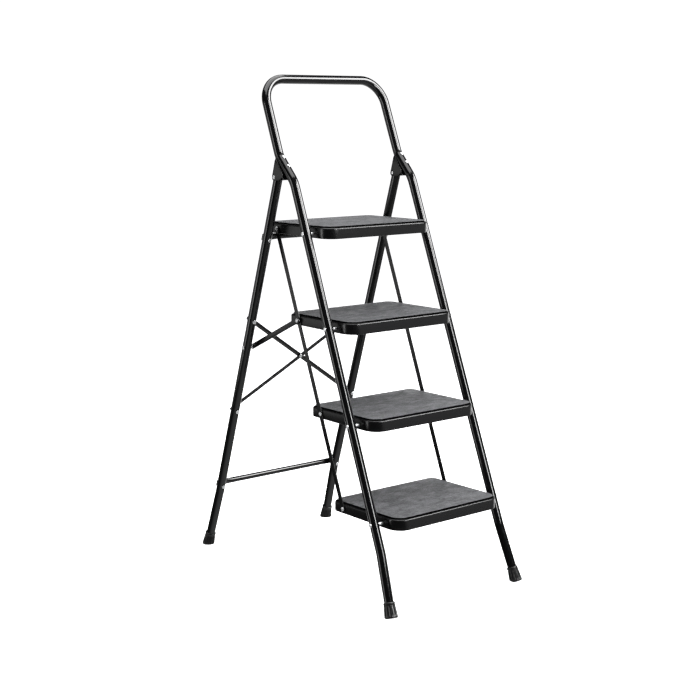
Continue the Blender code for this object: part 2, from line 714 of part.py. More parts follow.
def build_back_frame(finishes):
    """The frame that swings in about the hinge pins."""
    pivot = add_pivot("back_frame", Vector((0.0, HINGE.y, HINGE.z)))
    for name, side in SIDES.items():
        foot = rubber_foot(mirrored(BACK_FOOT, side), mirrored(leg_point(LEG_BEND_Z), side))
        add_placed(f"back_leg_{name}", back_leg(side), finishes["enamel"], pivot)
        add_placed(f"back_foot_{name}", foot, finishes["rubber"], pivot)
        add_placed(f"link_leg_rivet_{name}", link_leg_rivet(side), finishes["zinc"], pivot)
        for place, z in (("upper", UPPER_CROSSBAR_Z), ("lower", LOWER_CROSSBAR_Z)):
            rivet = frame_rivet(z, side, CROSSBAR_FLAT_THICKNESS)
            add_placed(f"crossbar_rivet_{place}_{name}", rivet, finishes["zinc"], pivot)
        for place, z in (("upper", BRACE_TOP_Z), ("lower", BRACE_BOTTOM_Z)):
            rivet = frame_rivet(z, side, BRACE_THICKNESS)
            add_placed(f"brace_rivet_{place}_{name}", rivet, finishes["zinc"], pivot)
    add_placed("upper_crossbar", crossbar(UPPER_CROSSBAR_Z), finishes["enamel"], pivot)
    add_placed("lower_crossbar", crossbar(LOWER_CROSSBAR_Z), finishes["enamel"], pivot)
    falling = diagonal_brace(BRACE_TOP_Z, BRACE_BOTTOM_Z, BRACE_BOW)
    rising = diagonal_brace(BRACE_BOTTOM_Z, BRACE_TOP_Z, -BRACE_BOW)
    add_placed("brace_falling", falling, finishes["enamel"], pivot)
    add_placed("brace_rising", rising, finishes["enamel"], pivot)
    add_placed("brace_centre_rivet", brace_centre_rivet(), finishes["zinc"], pivot)


def build_treads(finishes):
    """Four equal trays with their mats, each turning on its own pair of pins."""
    tray = step_tray()
    mat = step_mat()
    for number in range(1, TREAD_COUNT + 1):
        pivot = add_pivot(f"step_{number}", tread_pivot(number))
        add_piece(f"step_tray_{number}", tray, finishes["enamel"], pivot)
        add_piece(f"step_mat_{number}", mat, finishes["mat"], pivot)


def build_linkage(finishes):
    """Tie bars with their rivets, and the links that drive them from the back legs."""
    joint = tread_pivot(LINK_TREAD) + TIE_PIVOT
    leg_end = Vector((0.0, LINK_LEG_PIVOT.y, LINK_LEG_PIVOT.z))
    for name, side in SIDES.items():
        tie_pivot = add_pivot(f"tie_{name}", joint)
        add_placed(f"tie_bar_{name}", tie_bar(side), finishes["enamel"], tie_pivot)
        for number in range(1, TREAD_COUNT + 1):
            add_placed(f"tie_rivet_{number}_{name}", tie_rivet(number, side),
                       finishes["zinc"], tie_pivot)
        link_pivot = add_pivot(f"link_arm_{name}", leg_end)
        add_placed(f"link_{name}", link(side), finishes["enamel"], link_pivot)
        add_placed(f"link_tread_rivet_{name}", link_tread_rivet(side), finishes["zinc"],
                   link_pivot)


def main():
    clear_scene()
    finishes = {
        "enamel": finish("black_enamel", (0.012, 0.012, 0.013), 0.28, 0.0),
        "zinc": finish("bright_zinc", (0.80, 0.81, 0.82), 0.25, 1.0),
        "rubber": finish("black_rubber", (0.018, 0.018, 0.018), 0.65, 0.0),
        "mat": finish("grey_mat", (0.065, 0.066, 0.070), 0.55, 0.0),
    }
    build_front_frame(finishes)
    build_back_frame(finishes)
    build_treads(finishes)
    build_linkage(finishes)


main()
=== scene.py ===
"""Looks for a folding ladder with four wide treads and a tall hand rail.

Lengths are metres in the ladder's own frame: +Z up, +Y towards the back legs, +X to the
right of someone about to climb.  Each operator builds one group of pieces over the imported
frame, and the panel in the 3D view's sidebar lists them.
"""

import json
import math

import bmesh
import bpy
from mathutils import Matrix, Vector


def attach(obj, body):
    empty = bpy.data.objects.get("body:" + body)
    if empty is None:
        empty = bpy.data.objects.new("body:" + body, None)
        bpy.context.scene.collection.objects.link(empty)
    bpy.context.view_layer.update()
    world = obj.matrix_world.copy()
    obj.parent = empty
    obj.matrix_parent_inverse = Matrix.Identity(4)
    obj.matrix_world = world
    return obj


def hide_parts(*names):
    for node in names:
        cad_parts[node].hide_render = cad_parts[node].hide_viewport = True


bl_info = {
    "name": "Folding Ladder",
    "version": (1, 0, 0),
    "blender": (4, 5, 0),
    "location": "View3D > Sidebar > Ladder",
    "description": "Builds the visible pieces of a folding ladder on its packed frame",
    "category": "Object",
}

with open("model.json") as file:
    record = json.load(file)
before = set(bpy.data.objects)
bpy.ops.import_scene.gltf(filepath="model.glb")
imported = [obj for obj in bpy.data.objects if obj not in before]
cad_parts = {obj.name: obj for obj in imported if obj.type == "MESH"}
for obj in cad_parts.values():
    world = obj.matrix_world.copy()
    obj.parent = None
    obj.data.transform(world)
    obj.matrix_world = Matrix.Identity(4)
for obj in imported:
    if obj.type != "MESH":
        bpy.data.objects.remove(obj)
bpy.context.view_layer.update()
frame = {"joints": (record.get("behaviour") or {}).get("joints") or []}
PIVOTS = {joint["name"]: Vector(joint["pos_m"]) for joint in frame["joints"]}

SIDES = {"left": -1.0, "right": 1.0}
TREADS = (1, 2, 3, 4)
ACROSS = Vector((1.0, 0.0, 0.0))
CLEARANCE = 0.0003
TUBE_RADIUS = 0.0125

# Shanks of pins and rivets, and a tail's width as a share of its head's
STEP_SHANK = 0.0036
HINGE_SHANK = 0.0035
TUBULAR_SHANK = 0.0030
RIVET_SHANK = 0.0025
TAIL_SHARE = 0.85

SMOOTH_ANGLE = math.radians(32.0)
BEVEL_ANGLE = math.radians(40.0)

# Front rails and hand rail
RAIL_X = 0.2134
RAIL_X_RUN = -0.0057
RAIL_Y = -0.4109
RAIL_Y_RUN = 0.3858
RAIL_BEND_Z = 0.150
FRONT_FOOT = Vector((0.2258, -0.4085, 0.0))
LOWER_KINK_Z = 1.073
UPPER_KINK = Vector((0.2090, 0.0638, 1.138))
HANDLE_CORNER = Vector((0.2070, 0.1429, 1.3397))
FRONT_BEND_RADII = [0.060, 0.090, 0.052, 0.070]

# Back legs
LEG_X = 0.2136
LEG_X_RUN = -0.0039
LEG_Y = 0.4098
LEG_Y_RUN = -0.3155
LEG_BEND_Z = 0.172
LEG_BEND_RADIUS = 0.060
HINGE_Z = 1.0829
LEG_PAST_HINGE = 0.016
BACK_FOOT = Vector((0.2219, 0.4083, 0.0))

# Feet: distance up the leg, radius and share of the full flute depth
FOOT_SOCKET_FLOOR = 0.012
FOOT_LENGTH = 0.039
FOOT_PROFILE = [
    (-0.0015, 0.0160, 0.0), (-0.0013, 0.0170, 0.0), (-0.0006, 0.0175, 0.0),
    (0.0004, 0.0176, 0.0), (0.0034, 0.0176, 0.0), (0.0042, 0.0174, 0.15),
    (0.0050, 0.0173, 0.50), (0.0062, 0.0172, 0.85), (0.0080, 0.0171, 1.0),
    (0.0120, 0.0169, 1.0), (0.0160, 0.0165, 1.0), (0.0200, 0.0161, 1.0),
    (0.0240, 0.0157, 1.0), (0.0275, 0.0153, 1.0), (0.0295, 0.0150, 0.85),
    (0.0308, 0.0149, 0.50), (0.0318, 0.0148, 0.15), (0.0326, 0.0147, 0.0),
    (0.0330, 0.0148, 0.0), (0.0335, 0.0151, 0.0), (0.0343, 0.0153, 0.0),
    (0.0366, 0.0153, 0.0), (0.0377, 0.0151, 0.0), (0.0385, 0.0146, 0.0),
    (0.0390, 0.0138, 0.0),
]

# Treads, measured from the pivot
TREAD_HALF_WIDTH = 0.1843
TREAD_FRONT = -0.060
TREAD_BACK = 0.208
TREAD_FRONT_RADIUS = 0.038
TREAD_BACK_RADIUS = 0.026
SKIRT_FRONT = -0.0130
SKIRT_BACK = -0.0092
SHOULDER_Z = 0.0125
SHOULDER_RADIUS = 0.0035
DECK_Z = 0.0160
SHEET = 0.0012
HEM_DEPTH = 0.0042

# Tie bars and links
TIE_OFFSET = Vector((0.0, 0.1562, 0.0030))
TIE_INNER_X = 0.1851
STRIP_THICKNESS = 0.0020
STRIP_WIDTH = 0.015
LINK_TREAD = 3
LINK_INNER_X = TIE_INNER_X + STRIP_THICKNESS + 0.0033
LINK_LEG_Z = 0.608

# Cross members
UPPER_CROSSBAR_Z = 0.916
LOWER_CROSSBAR_Z = 0.187
CROSSBAR_FLAT = (0.020, 0.003)
CROSSBAR_OVERHANG = 0.0065
BRACE_TOP_Z = 0.686
BRACE_BOTTOM_Z = 0.420
BRACE_WIDTH = 0.0125
BRACE_THICKNESS = 0.0022
BRACE_BOW = 0.0015
BRACE_END = 0.008

# Hinge bracket: (up along the kinked tube, out behind it) from the middle of the kink
BRACKET_SHEET = 0.0020
BRACKET_CHEEK_GAP = 0.0138
BRACKET_APEX = [(0.0370, 0.0085), (0.0395, 0.0010)]
BRACKET_FRONT = (-0.0125, 0.0075)
BRACKET_TAIL = -0.0255
BRACKET_TAIL_LIP = 0.0006
BRACKET_LOBE_RADIUS = 0.0090
BRACKET_LOBE_START = 146.0
BRACKET_LOBE_SWEEP = 107.0
BRACKET_HEEL = (-0.0120, 0.0300)
BRACKET_TOE = -0.0165
BRACKET_RIVETS = (0.0315, 0.0005)

# Lamps: name, place, target, size and power
LIGHTS = [
    ("key", (0.65, -3.2, 2.5), (0.0, -0.2, 1.0), (0.6, 2.6), 150.0),
    ("crown", (2.4, -2.0, 3.0), (0.0, 0.0, 1.2), (1.8, 1.6), 180.0),
    ("side", (-3.2, 1.1, 0.8), (0.0, 0.0, 0.8), (0.7, 2.6), 30.0),
    ("top", (0.0, 0.4, 4.2), (0.0, 0.0, 0.5), (4.0, 4.0), 200.0),
    ("rim", (3.4, 2.6, 0.8), (0.0, 0.0, 0.7), (3.4, 1.4), 14.0),
    ("wall", (-2.6, 3.1, 0.6), (0.0, 0.0, 0.6), (2.2, 1.8), 9.0),
]

# Camera and floor
CAMERA_PLACE = Vector((-2.5128, -2.9798, 1.2621))
CAMERA_TURN = 0.6967
CAMERA_TILT = -0.1669
CAMERA_LENS = 73.71
FLOOR_RADIUS = 60.0
FLOOR_DROP = Vector((0.0, 0.0, -0.0002))


def rail_point(z):
    """Centre of the right front rail at height z."""
    return Vector((RAIL_X + RAIL_X_RUN * z, RAIL_Y + RAIL_Y_RUN * z, z))


def leg_point(z):
    """Centre of the straight part of the right back leg at height z."""
    return Vector((LEG_X + LEG_X_RUN * z, LEG_Y + LEG_Y_RUN * z, z))


def mirrored(point, side):
    """The right-hand point on the asked side."""
    return Vector((side * point.x, point.y, point.z))


def beside(x, point, side=1.0):
    """A point's height and depth at another distance from the middle, on the asked side."""
    return Vector((side * x, point.y, point.z))


LEG_UP = (leg_point(1.0) - leg_point(0.0)).normalized()
LEG_BACK = Vector((0.0, LEG_UP.z, -LEG_UP.y)).normalized()
HINGE = leg_point(HINGE_Z)
LINK_LEG_PIVOT = leg_point(LINK_LEG_Z)
LOWER_KINK = rail_point(LOWER_KINK_Z)
KINK_MIDDLE = (LOWER_KINK + UPPER_KINK) / 2
KINK_UP = Vector((0.0, UPPER_KINK.y - LOWER_KINK.y, UPPER_KINK.z - LOWER_KINK.z)).normalized()
KINK_BACK = Vector((0.0, KINK_UP.z, -KINK_UP.y))
BRACKET_X = (HINGE.x + KINK_MIDDLE.x) / 2


def tread_pivot(number):
    """The tread's pivot, from the joint that turns it."""
    return PIVOTS[f"step_{number}_pivot"]


# ------------------------------------------------------------------ settings

def length(name, description, default):
    """A size that a user may change."""
    return bpy.props.FloatProperty(name=name, description=description, default=default,
                                   min=0.0, precision=4, subtype="DISTANCE", unit="LENGTH")


def shade(name, description, default):
    """A colour that a user may change."""
    return bpy.props.FloatVectorProperty(name=name, description=description, size=3,
                                         default=default, min=0.0, max=1.0, subtype="COLOR")


class LadderSizes(bpy.types.PropertyGroup):
    """Sizes of the visible pieces."""

    tube_radius: length("Tube radius", "Outside radius of rails and legs",
                        TUBE_RADIUS)
    tube_wall: length("Tube wall", "Wall thickness of the steel tube", 0.0012)
    tube_sides: bpy.props.IntProperty(name="Tube sides", description="Faces round a tube",
                                      default=40, min=12, max=96)
    bend_step: bpy.props.FloatProperty(name="Bend step", description="Angle of one bend facet",
                                       default=math.radians(4.0), min=0.01, subtype="ANGLE")
    crossbar_radius: length("Crossbar radius", "Radius of the round cross members", 0.008)
    mat_inset: length("Mat inset", "Tray border left bare round a mat", 0.0062)
    mat_top: length("Mat top", "Height of the mat's surface over the tread's pivot", 0.0203)
    mat_round: length("Mat rounding", "Radius of the mat's upper edge", 0.0013)
    corner_steps: bpy.props.IntProperty(name="Corner steps", description="Facets in a corner",
                                        default=14, min=4, max=32)
    flute_count: bpy.props.IntProperty(name="Flutes", description="Flutes round a foot",
                                       default=16, min=6, max=40)
    flute_depth: length("Flute depth", "Depth of the flutes in a foot", 0.0016)
    head_radius: length("Head radius", "Radius of a rivet's head", 0.0052)
    head_height: length("Head height", "Height of a rivet's head", 0.0024)
    tail_height: length("Tail height", "Height of a rivet's clinched tail", 0.0016)


class LadderFinishes(bpy.types.PropertyGroup):
    """Colours of the visible pieces and the stage."""

    enamel: shade("Enamel", "Powder coat on tube and sheet", (0.0022, 0.0022, 0.0025))
    zinc: shade("Zinc", "Bright plate on pins and rivets", (0.80, 0.81, 0.82))
    rubber: shade("Rubber", "Moulded feet", (0.007, 0.007, 0.007))
    mat: shade("Mat", "Grained sheet on the treads", (0.070, 0.071, 0.075))
    floor: shade("Floor", "Studio floor", (0.86, 0.86, 0.87))


# -------------------------------------------------------------- node building

def arithmetic(operation, swapped=False):
    """A method that feeds a signal and another value to one Math node."""
    def combine(signal, other):
        pair = (other, signal) if swapped else (signal, other)
        return signal.math(operation, *pair)
    return combine


class Signal:
    """An output socket that takes part in Python arithmetic."""

    def __init__(self, tree, node, output=0):
        self.tree = tree
        self.node = node
        self.socket = node.outputs[output]

    def out(self, output):
        """Another output of the same node."""
        return Signal(self.tree, self.node, output)

    def math(self, operation, *values):
        """A Math node fed with signals and numbers."""
        node = self.tree.nodes.new("ShaderNodeMath")
        node.operation = operation
        for socket, value in zip(node.inputs, values):
            if isinstance(value, Signal):
                self.tree.links.new(value.socket, socket)
            else:
                socket.default_value = value
        return Signal(self.tree, node)

    __add__ = arithmetic("ADD")
    __radd__ = arithmetic("ADD", swapped=True)
    __rsub__ = arithmetic("SUBTRACT", swapped=True)
    __mul__ = arithmetic("MULTIPLY")
    __rmul__ = arithmetic("MULTIPLY", swapped=True)
    __pow__ = arithmetic("POWER")
    at_least = arithmetic("MAXIMUM")
    at_most = arithmetic("MINIMUM")


class Board:
    """A node tree and the one method that adds any node to it."""

    def __init__(self, tree):
        self.tree = tree

    def add(self, kind, settings=None, inputs=None, output=0):
        """Make a node, set it, feed its sockets and hand back one of its outputs."""
        node = self.tree.nodes.new(kind)
        for key, value in (settings or {}).items():
            if key == "stops":
                self.set_stops(node.color_ramp, value)
            else:
                setattr(node, key, value)
        for key, value in (inputs or {}).items():
            if isinstance(value, Signal):
                self.tree.links.new(value.socket, node.inputs[key])
            else:
                node.inputs[key].default_value = value
        if not node.outputs:
            return node
        return Signal(self.tree, node, output)

    @staticmethod
    def set_stops(ramp, stops):
        """Give a colour ramp its stops, each (position, grey level)."""
        while len(ramp.elements) < len(stops):
            ramp.elements.new(0.5)
        for element, (position, level) in zip(ramp.elements, stops):
            element.position = position
            element.color = (level, level, level, 1.0)

    def noise(self, place, scale, detail=2.0, roughness=0.5, distortion=0.0):
        """Fractal noise in object space."""
        return self.add("ShaderNodeTexNoise", None,
                        {"Vector": place, "Scale": scale, "Detail": detail,
                         "Roughness": roughness, "Distortion": distortion})

    def ramp(self, signal, *stops):
        """A grey ramp over a signal."""
        return self.add("ShaderNodeValToRGB", {"stops": stops}, {"Fac": signal})

    def mixed(self, factor, first, second):
        """A colour between two colours."""
        return self.add("ShaderNodeMix", {"data_type": "RGBA"},
                        {0: factor, 6: first, 7: second}, 2)

    def tinted(self, factor, color, dark, light):
        """A colour between a darker and a lighter version of itself."""
        return self.mixed(factor, scaled(color, dark), scaled(color, light))

    def eased(self, signal, start, end, low=0.0, high=1.0):
        """Smoothly from low to high while a signal goes from start to end."""
        return self.add("ShaderNodeMapRange", {"interpolation_type": "SMOOTHSTEP"},
                        {"Value": signal, "From Min": start, "From Max": end,
                         "To Min": low, "To Max": high})

    def upward(self):
        """How far a face looks up in its piece's own frame."""
        facing = self.add("ShaderNodeTexCoord", None, None, "Normal")
        return self.add("ShaderNodeSeparateXYZ", None, {"Vector": facing}, "Z")

    def towards(self, heading, direction):
        """How closely a heading points along a direction."""
        return self.add("ShaderNodeVectorMath", {"operation": "DOT_PRODUCT"},
                        {0: heading, 1: direction}, "Value")

    def bump(self, height, distance, strength, below=None):
        """A bump from a height, over an earlier bump."""
        feeds = {"Height": height, "Distance": distance, "Strength": strength}
        if below:
            feeds["Normal"] = below
        return self.add("ShaderNodeBump", None, feeds)


def scaled(color, factor):
    """A lighter or darker version of a colour, with its alpha."""
    return (*[min(1.0, channel * factor) for channel in color], 1.0)


def new_material(name):
    """An empty material with a Principled shader, its board and object coordinates."""
    material = bpy.data.materials.new(name)
    material.use_nodes = True
    board = Board(material.node_tree)
    shader = material.node_tree.nodes["Principled BSDF"]
    place = board.add("ShaderNodeTexCoord", None, None, "Object")
    return material, board, shader, place


def feed(board, shader, **signals):
    """Link signals and set numbers on the shader's sockets."""
    for key, value in signals.items():
        socket = shader.inputs[key.replace("_", " ")]
        if isinstance(value, Signal):
            board.tree.links.new(value.socket, socket)
        else:
            socket.default_value = value


def make_tube_enamel(colors):
    """Glossy black powder coat with a faint orange peel."""
    material, board, shader, place = new_material("tube_enamel")
    cloud = board.noise(place, 11.0, 3.0, 0.6)
    peel = board.noise(place, 300.0, 1.0, 0.5)
    base = board.tinted(cloud, colors.enamel, 0.8, 1.3)
    normal = board.bump(peel, 0.00002, 0.05)
    feed(board, shader, Base_Color=base, Roughness=0.09 + 0.05 * cloud, Normal=normal,
         Specular_IOR_Level=0.5)
    return material


def make_sheet_enamel(colors):
    """The same coat over pressed sheet, a little duller, with painted shade that turns it dead
    black where it lies level.
    """
    material, board, shader, place = new_material("sheet_enamel")
    cloud = board.noise(place, 17.0, 4.0, 0.6)
    peel = board.noise(place, 540.0, 3.0, 0.6)
    swell = board.noise(place, 38.0, 1.0, 0.5)
    base = board.tinted(cloud, colors.enamel, 0.9, 1.5)
    # Painted shade: level faces, such as the tray's deck round a mat, turn metallic over the
    # black base and go dead black
    level_painted_shade = board.ramp(board.upward(), (0.97, 0.0), (0.995, 1.0))
    normal = board.bump(swell, 0.0008, 0.05)
    normal = board.bump(peel, 0.00005, 0.08, normal)
    feed(board, shader, Base_Color=base, Roughness=0.23 + 0.08 * cloud + 0.65 * level_painted_shade,
         Metallic=level_painted_shade, Normal=normal, Specular_IOR_Level=0.45)
    return material


def make_zinc(colors):
    """Bright zinc plate on turned steel, with fine pits."""
    material, board, shader, place = new_material("bright_zinc")
    cloud = board.noise(place, 260.0, 3.0, 0.6)
    pits = board.noise(place, 1500.0, 2.0, 0.6)
    base = board.tinted(cloud, colors.zinc, 0.82, 1.10)
    normal = board.bump(pits, 0.00004, 0.25)
    feed(board, shader, Base_Color=base, Roughness=0.20 + 0.16 * cloud, Metallic=1.0,
         Normal=normal)
    return material


def make_rubber(colors):
    """Moulded rubber, paler where dust holds."""
    material, board, shader, place = new_material("foot_rubber")
    cloud = board.noise(place, 90.0, 4.0, 0.65)
    grain = board.noise(place, 1300.0, 3.0, 0.7)
    dust = board.ramp(cloud, (0.45, 0.0), (0.80, 1.0))
    base = board.tinted(dust, colors.rubber, 0.9, 2.2)
    normal = board.bump(grain, 0.00010, 0.35)
    feed(board, shader, Base_Color=base, Roughness=0.24 + 0.16 * cloud, Normal=normal,
         Specular_IOR_Level=0.45)
    return material


def make_mat(colors):
    """Grained sheet: pebbled cells, shallow creases and uneven sheen, with painted shade that
    makes its edge black.
    """
    material, board, shader, place = new_material("grained_mat")
    stretched = board.add("ShaderNodeMapping", {"vector_type": "POINT"},
                          {"Vector": place, "Scale": (0.55, 1.0, 1.0)})
    patches = board.noise(stretched, 34.0, 5.0, 0.62, 0.8)
    creases = board.noise(stretched, 120.0, 4.0, 0.60, 1.8)
    cells = board.add("ShaderNodeTexVoronoi", {"feature": "DISTANCE_TO_EDGE"},
                      {"Vector": place, "Scale": 430.0, "Randomness": 1.0})
    grain = board.noise(place, 900.0, 3.0, 0.6)
    pebble = (cells * 5.0).at_most(1.0)
    top = board.ramp(board.upward(), (0.55, 0.0), (0.90, 1.0))
    blotch = board.ramp(patches, (0.36, 0.0), (0.66, 1.0))
    streak = board.ramp(creases, (0.34, 0.1), (0.49, 0.3), (0.53, 1.0), (0.64, 0.35))
    # The colour's lighter blotches and streaks are partly the mat's own uneven tone and partly
    # painted sheen
    surface = board.tinted(0.35 * blotch + 0.65 * streak, colors.mat, 0.40, 1.95)
    # Painted shade: faces that don't look up get a near-black colour here, and are made
    # metallic and fully rough below, so the mat's edge reads as a dark groove
    base = board.mixed(top, scaled(colors.mat, 0.03), surface)
    normal = board.bump(patches, 0.0022, 0.28)
    normal = board.bump(creases, 0.0012, 0.55, normal)
    normal = board.bump(pebble + 0.4 * grain, 0.00016, 0.45, normal)
    sheen = 0.22 * blotch + 0.10 * streak
    feed(board, shader, Base_Color=base, Roughness=1.0 - top * (0.36 + sheen),
         Metallic=1.0 - top, Normal=normal)
    return material


def make_floor(colors):
    """Pale studio floor that glows, so that it melts into the background."""
    material, board, shader, place = new_material("studio_floor")
    cloud = board.noise(place, 1.3, 2.0, 0.5)
    base = board.tinted(cloud, colors.floor, 0.985, 1.01)
    feed(board, shader, Base_Color=base, Roughness=0.85, Emission_Color=base,
         Emission_Strength=1.25)
    return material


FINISHES = {
    "tube_enamel": make_tube_enamel,
    "sheet_enamel": make_sheet_enamel,
    "bright_zinc": make_zinc,
    "foot_rubber": make_rubber,
    "grained_mat": make_mat,
    "studio_floor": make_floor,
}


def finish_named(context, name):
    """The named material, made when it is first asked for."""
    found = bpy.data.materials.get(name)
    return found or FINISHES[name](context.scene.ladder_finishes)


# ------------------------------------------------------------ geometry trees

def new_tree(name, inputs):
    """A Geometry Nodes tree with its named inputs; returns its board and the inputs."""
    tree = bpy.data.node_groups.new(name, "GeometryNodeTree")
    tree.interface.new_socket("Geometry", in_out="INPUT", socket_type="NodeSocketGeometry")
    for label, kind in inputs:
        tree.interface.new_socket(label, in_out="INPUT", socket_type=f"NodeSocket{kind}")
    tree.interface.new_socket("Geometry", in_out="OUTPUT", socket_type="NodeSocketGeometry")
    return Board(tree), Signal(tree, tree.nodes.new("NodeGroupInput"))


def close_tree(board, geometry, material):
    """End a tree in Realize Instances and Set Material."""
    real = board.add("GeometryNodeRealizeInstances", None, {"Geometry": geometry})
    painted = board.add("GeometryNodeSetMaterial", None,
                        {"Geometry": real, "Material": material})
    board.add("NodeGroupOutput", None, {"Geometry": painted})
    return board.tree


def tube_tree():
    """Sweep a round skin along a path."""
    board, given = new_tree("Tube Along Path", [("Radius", "Float"), ("Sides", "Int"),
                                                ("Material", "Material")])
    path = board.add("GeometryNodeMeshToCurve", None, {"Mesh": given.out("Geometry")})
    ring_shape = board.add("GeometryNodeCurvePrimitiveCircle", {"mode": "RADIUS"},
                           {"Resolution": given.out("Sides"), "Radius": given.out("Radius")})
    skin = board.add("GeometryNodeCurveToMesh", None,
                     {"Curve": path, "Profile Curve": ring_shape, "Fill Caps": False})
    return close_tree(board, skin, given.out("Material"))


def fastener_tree():
    """Pins and rivets on points that say where they aim, how long and how thick they are."""
    board, given = new_tree("Pins And Rivets", [
        ("Head Radius", "Float"), ("Head Height", "Float"), ("Dimple", "Float"),
        ("Material", "Material")])
    head_radius = given.out("Head Radius")

    def stored(name, kind="FLOAT"):
        return board.add("GeometryNodeInputNamedAttribute", {"data_type": kind},
                         {"Name": name}, "Attribute")

    aim = stored("aim", "FLOAT_VECTOR")
    grip = stored("grip")
    tail = stored("tail")
    shank = stored("shank")
    aimed = board.add("FunctionNodeAlignRotationToVector", {"axis": "Z"}, {"Vector": aim})

    def size(across, along):
        return board.add("ShaderNodeCombineXYZ", None, {0: across, 1: across, 2: along})

    ball = board.add("GeometryNodeMeshUVSphere", None,
                     {"Segments": 28, "Rings": 18, "Radius": 1.0}, "Mesh")
    place = board.add("GeometryNodeInputPosition")
    split = board.add("ShaderNodeSeparateXYZ", None, {"Vector": place}, "X")
    across = (split * split + split.out("Y") * split.out("Y")) ** 0.5
    raised = split.out("Z").at_least(0.0) ** 0.62
    hollow = board.eased(across, 0.62, 0.34, 0.0, given.out("Dimple"))
    crown = board.add("ShaderNodeCombineXYZ", None,
                      {0: split, 1: split.out("Y"), 2: raised * (1.0 - hollow)})
    dome = board.add("GeometryNodeSetPosition", None, {"Geometry": ball, "Position": crown})
    dome = board.add("GeometryNodeSetShadeSmooth", None, {"Geometry": dome})
    bar = board.add("GeometryNodeMeshCylinder", {"fill_type": "NGON"},
                    {"Vertices": 28, "Radius": 1.0, "Depth": 1.0}, "Mesh")

    def lifted(points, amount):
        step = board.add("ShaderNodeVectorMath", {"operation": "SCALE"},
                         {"Vector": aim, "Scale": amount})
        return board.add("GeometryNodeSetPosition", None,
                         {"Geometry": points, "Offset": step})

    def placed(points, shape, turn, scale):
        return board.add("GeometryNodeInstanceOnPoints", None,
                         {"Points": points, "Instance": shape, "Rotation": turn,
                          "Scale": scale})

    points = board.add("GeometryNodeMeshToPoints", None, {"Mesh": given.out("Geometry")})
    heads = placed(lifted(points, grip), dome, aimed,
                   size(head_radius, given.out("Head Height")))
    flipped = board.add("ShaderNodeVectorMath", {"operation": "SCALE"},
                        {"Vector": aim, "Scale": -1.0})
    turned_over = board.add("FunctionNodeAlignRotationToVector", {"axis": "Z"},
                            {"Vector": flipped})
    tails = placed(points, dome, turned_over, size(head_radius * TAIL_SHARE, tail))
    shanks = placed(lifted(points, grip * 0.5), bar, aimed, size(shank, grip))
    together = board.add("GeometryNodeJoinGeometry")
    for part in (heads, tails, shanks):
        board.tree.links.new(part.socket, together.node.inputs[0])
    return close_tree(board, together, given.out("Material"))


def linked(name, data):
    """A new object in the scene."""
    holder = bpy.data.objects.new(name, data)
    bpy.context.scene.collection.objects.link(holder)
    return holder


TREES = {"Tube Along Path": tube_tree, "Pins And Rivets": fastener_tree}


def grown(mesh, tree_name, **values):
    """Run a Geometry Nodes tree over a mesh and hand back a plain mesh."""
    tree = bpy.data.node_groups.get(tree_name) or TREES[tree_name]()
    holder = linked("seed", mesh)
    modifier = holder.modifiers.new("tree", "NODES")
    modifier.node_group = tree
    for item in tree.interface.items_tree:
        key = item.name.replace(" ", "_").lower()
        if item.in_out == "INPUT" and key in values:
            modifier[item.identifier] = values[key]
    return plain(holder)


def plain(holder):
    """The evaluated mesh of an object, which is then removed with its modifiers."""
    graph = bpy.context.evaluated_depsgraph_get()
    made = bpy.data.meshes.new_from_object(holder.evaluated_get(graph))
    bpy.data.objects.remove(holder)
    if not made.polygons:
        raise RuntimeError("a piece came out empty")
    return made


# --------------------------------------------------------------- mesh helpers

def finished(shape):
    """Turn a closed bmesh outward and hand it back as a mesh."""
    bmesh.ops.recalc_face_normals(shape, faces=shape.faces)
    mesh = bpy.data.meshes.new("shape")
    shape.to_mesh(mesh)
    shape.free()
    return mesh


def loft(loops, closed=False):
    """Skin equal loops of points; the ends are capped unless the loops close up."""
    shape = bmesh.new()
    rows = [[shape.verts.new(point) for point in loop] for loop in loops]
    pairs = list(zip(rows, rows[1:]))
    if closed:
        pairs.append((rows[-1], rows[0]))
    for lower, upper in pairs:
        for index in range(len(lower)):
            after = (index + 1) % len(lower)
            shape.faces.new((lower[index], lower[after], upper[after], upper[index]))
    if not closed:
        shape.faces.new(rows[0])
        shape.faces.new(rows[-1])
    return finished(shape)


def modified(mesh, kind, **settings):
    """Apply one modifier to a mesh."""
    holder = linked("blank", mesh)
    modifier = holder.modifiers.new("finish", kind)
    for key, value in settings.items():
        setattr(modifier, key, value)
    return plain(holder)


def eased(mesh, width, segments=2):
    """Round a mesh's sharp edges a little."""
    return modified(mesh, "BEVEL", width=width, segments=segments, limit_method="ANGLE",
                    angle_limit=BEVEL_ANGLE)


def carved(mesh, tool_mesh):
    """Take one closed shape out of another."""
    tool = linked("tool", tool_mesh)
    result = modified(mesh, "BOOLEAN", operation="DIFFERENCE", object=tool)
    bpy.data.objects.remove(tool)
    return result


def joined(meshes):
    """Put several meshes into one."""
    shape = bmesh.new()
    for mesh in meshes:
        shape.from_mesh(mesh)
    together = bpy.data.meshes.new("shape")
    shape.to_mesh(together)
    shape.free()
    return together


def perpendicular(direction):
    """A unit vector across a direction."""
    helper = ACROSS if abs(direction.x) < 0.9 else Vector((0.0, 0.0, 1.0))
    return direction.cross(helper).normalized()


def ring(centre, direction, start, radius, sides):
    """Points of a circle across a direction, the first one towards start."""
    other = direction.cross(start).normalized()
    turns = [2 * math.pi * index / sides for index in range(sides)]
    return [centre + radius * (math.cos(turn) * start + math.sin(turn) * other)
            for turn in turns]


def turned(profile, origin, direction, sides=40):
    """A ring turned about a line; the profile holds (distance, radius) all the way round."""
    start = perpendicular(direction)
    return loft([ring(origin + distance * direction, direction, start, radius, sides)
                 for distance, radius in profile], closed=True)


def extruded(outline, depth):
    """A plate: an outline of points carried along the depth vector."""
    return loft([outline, [point + depth for point in outline]])


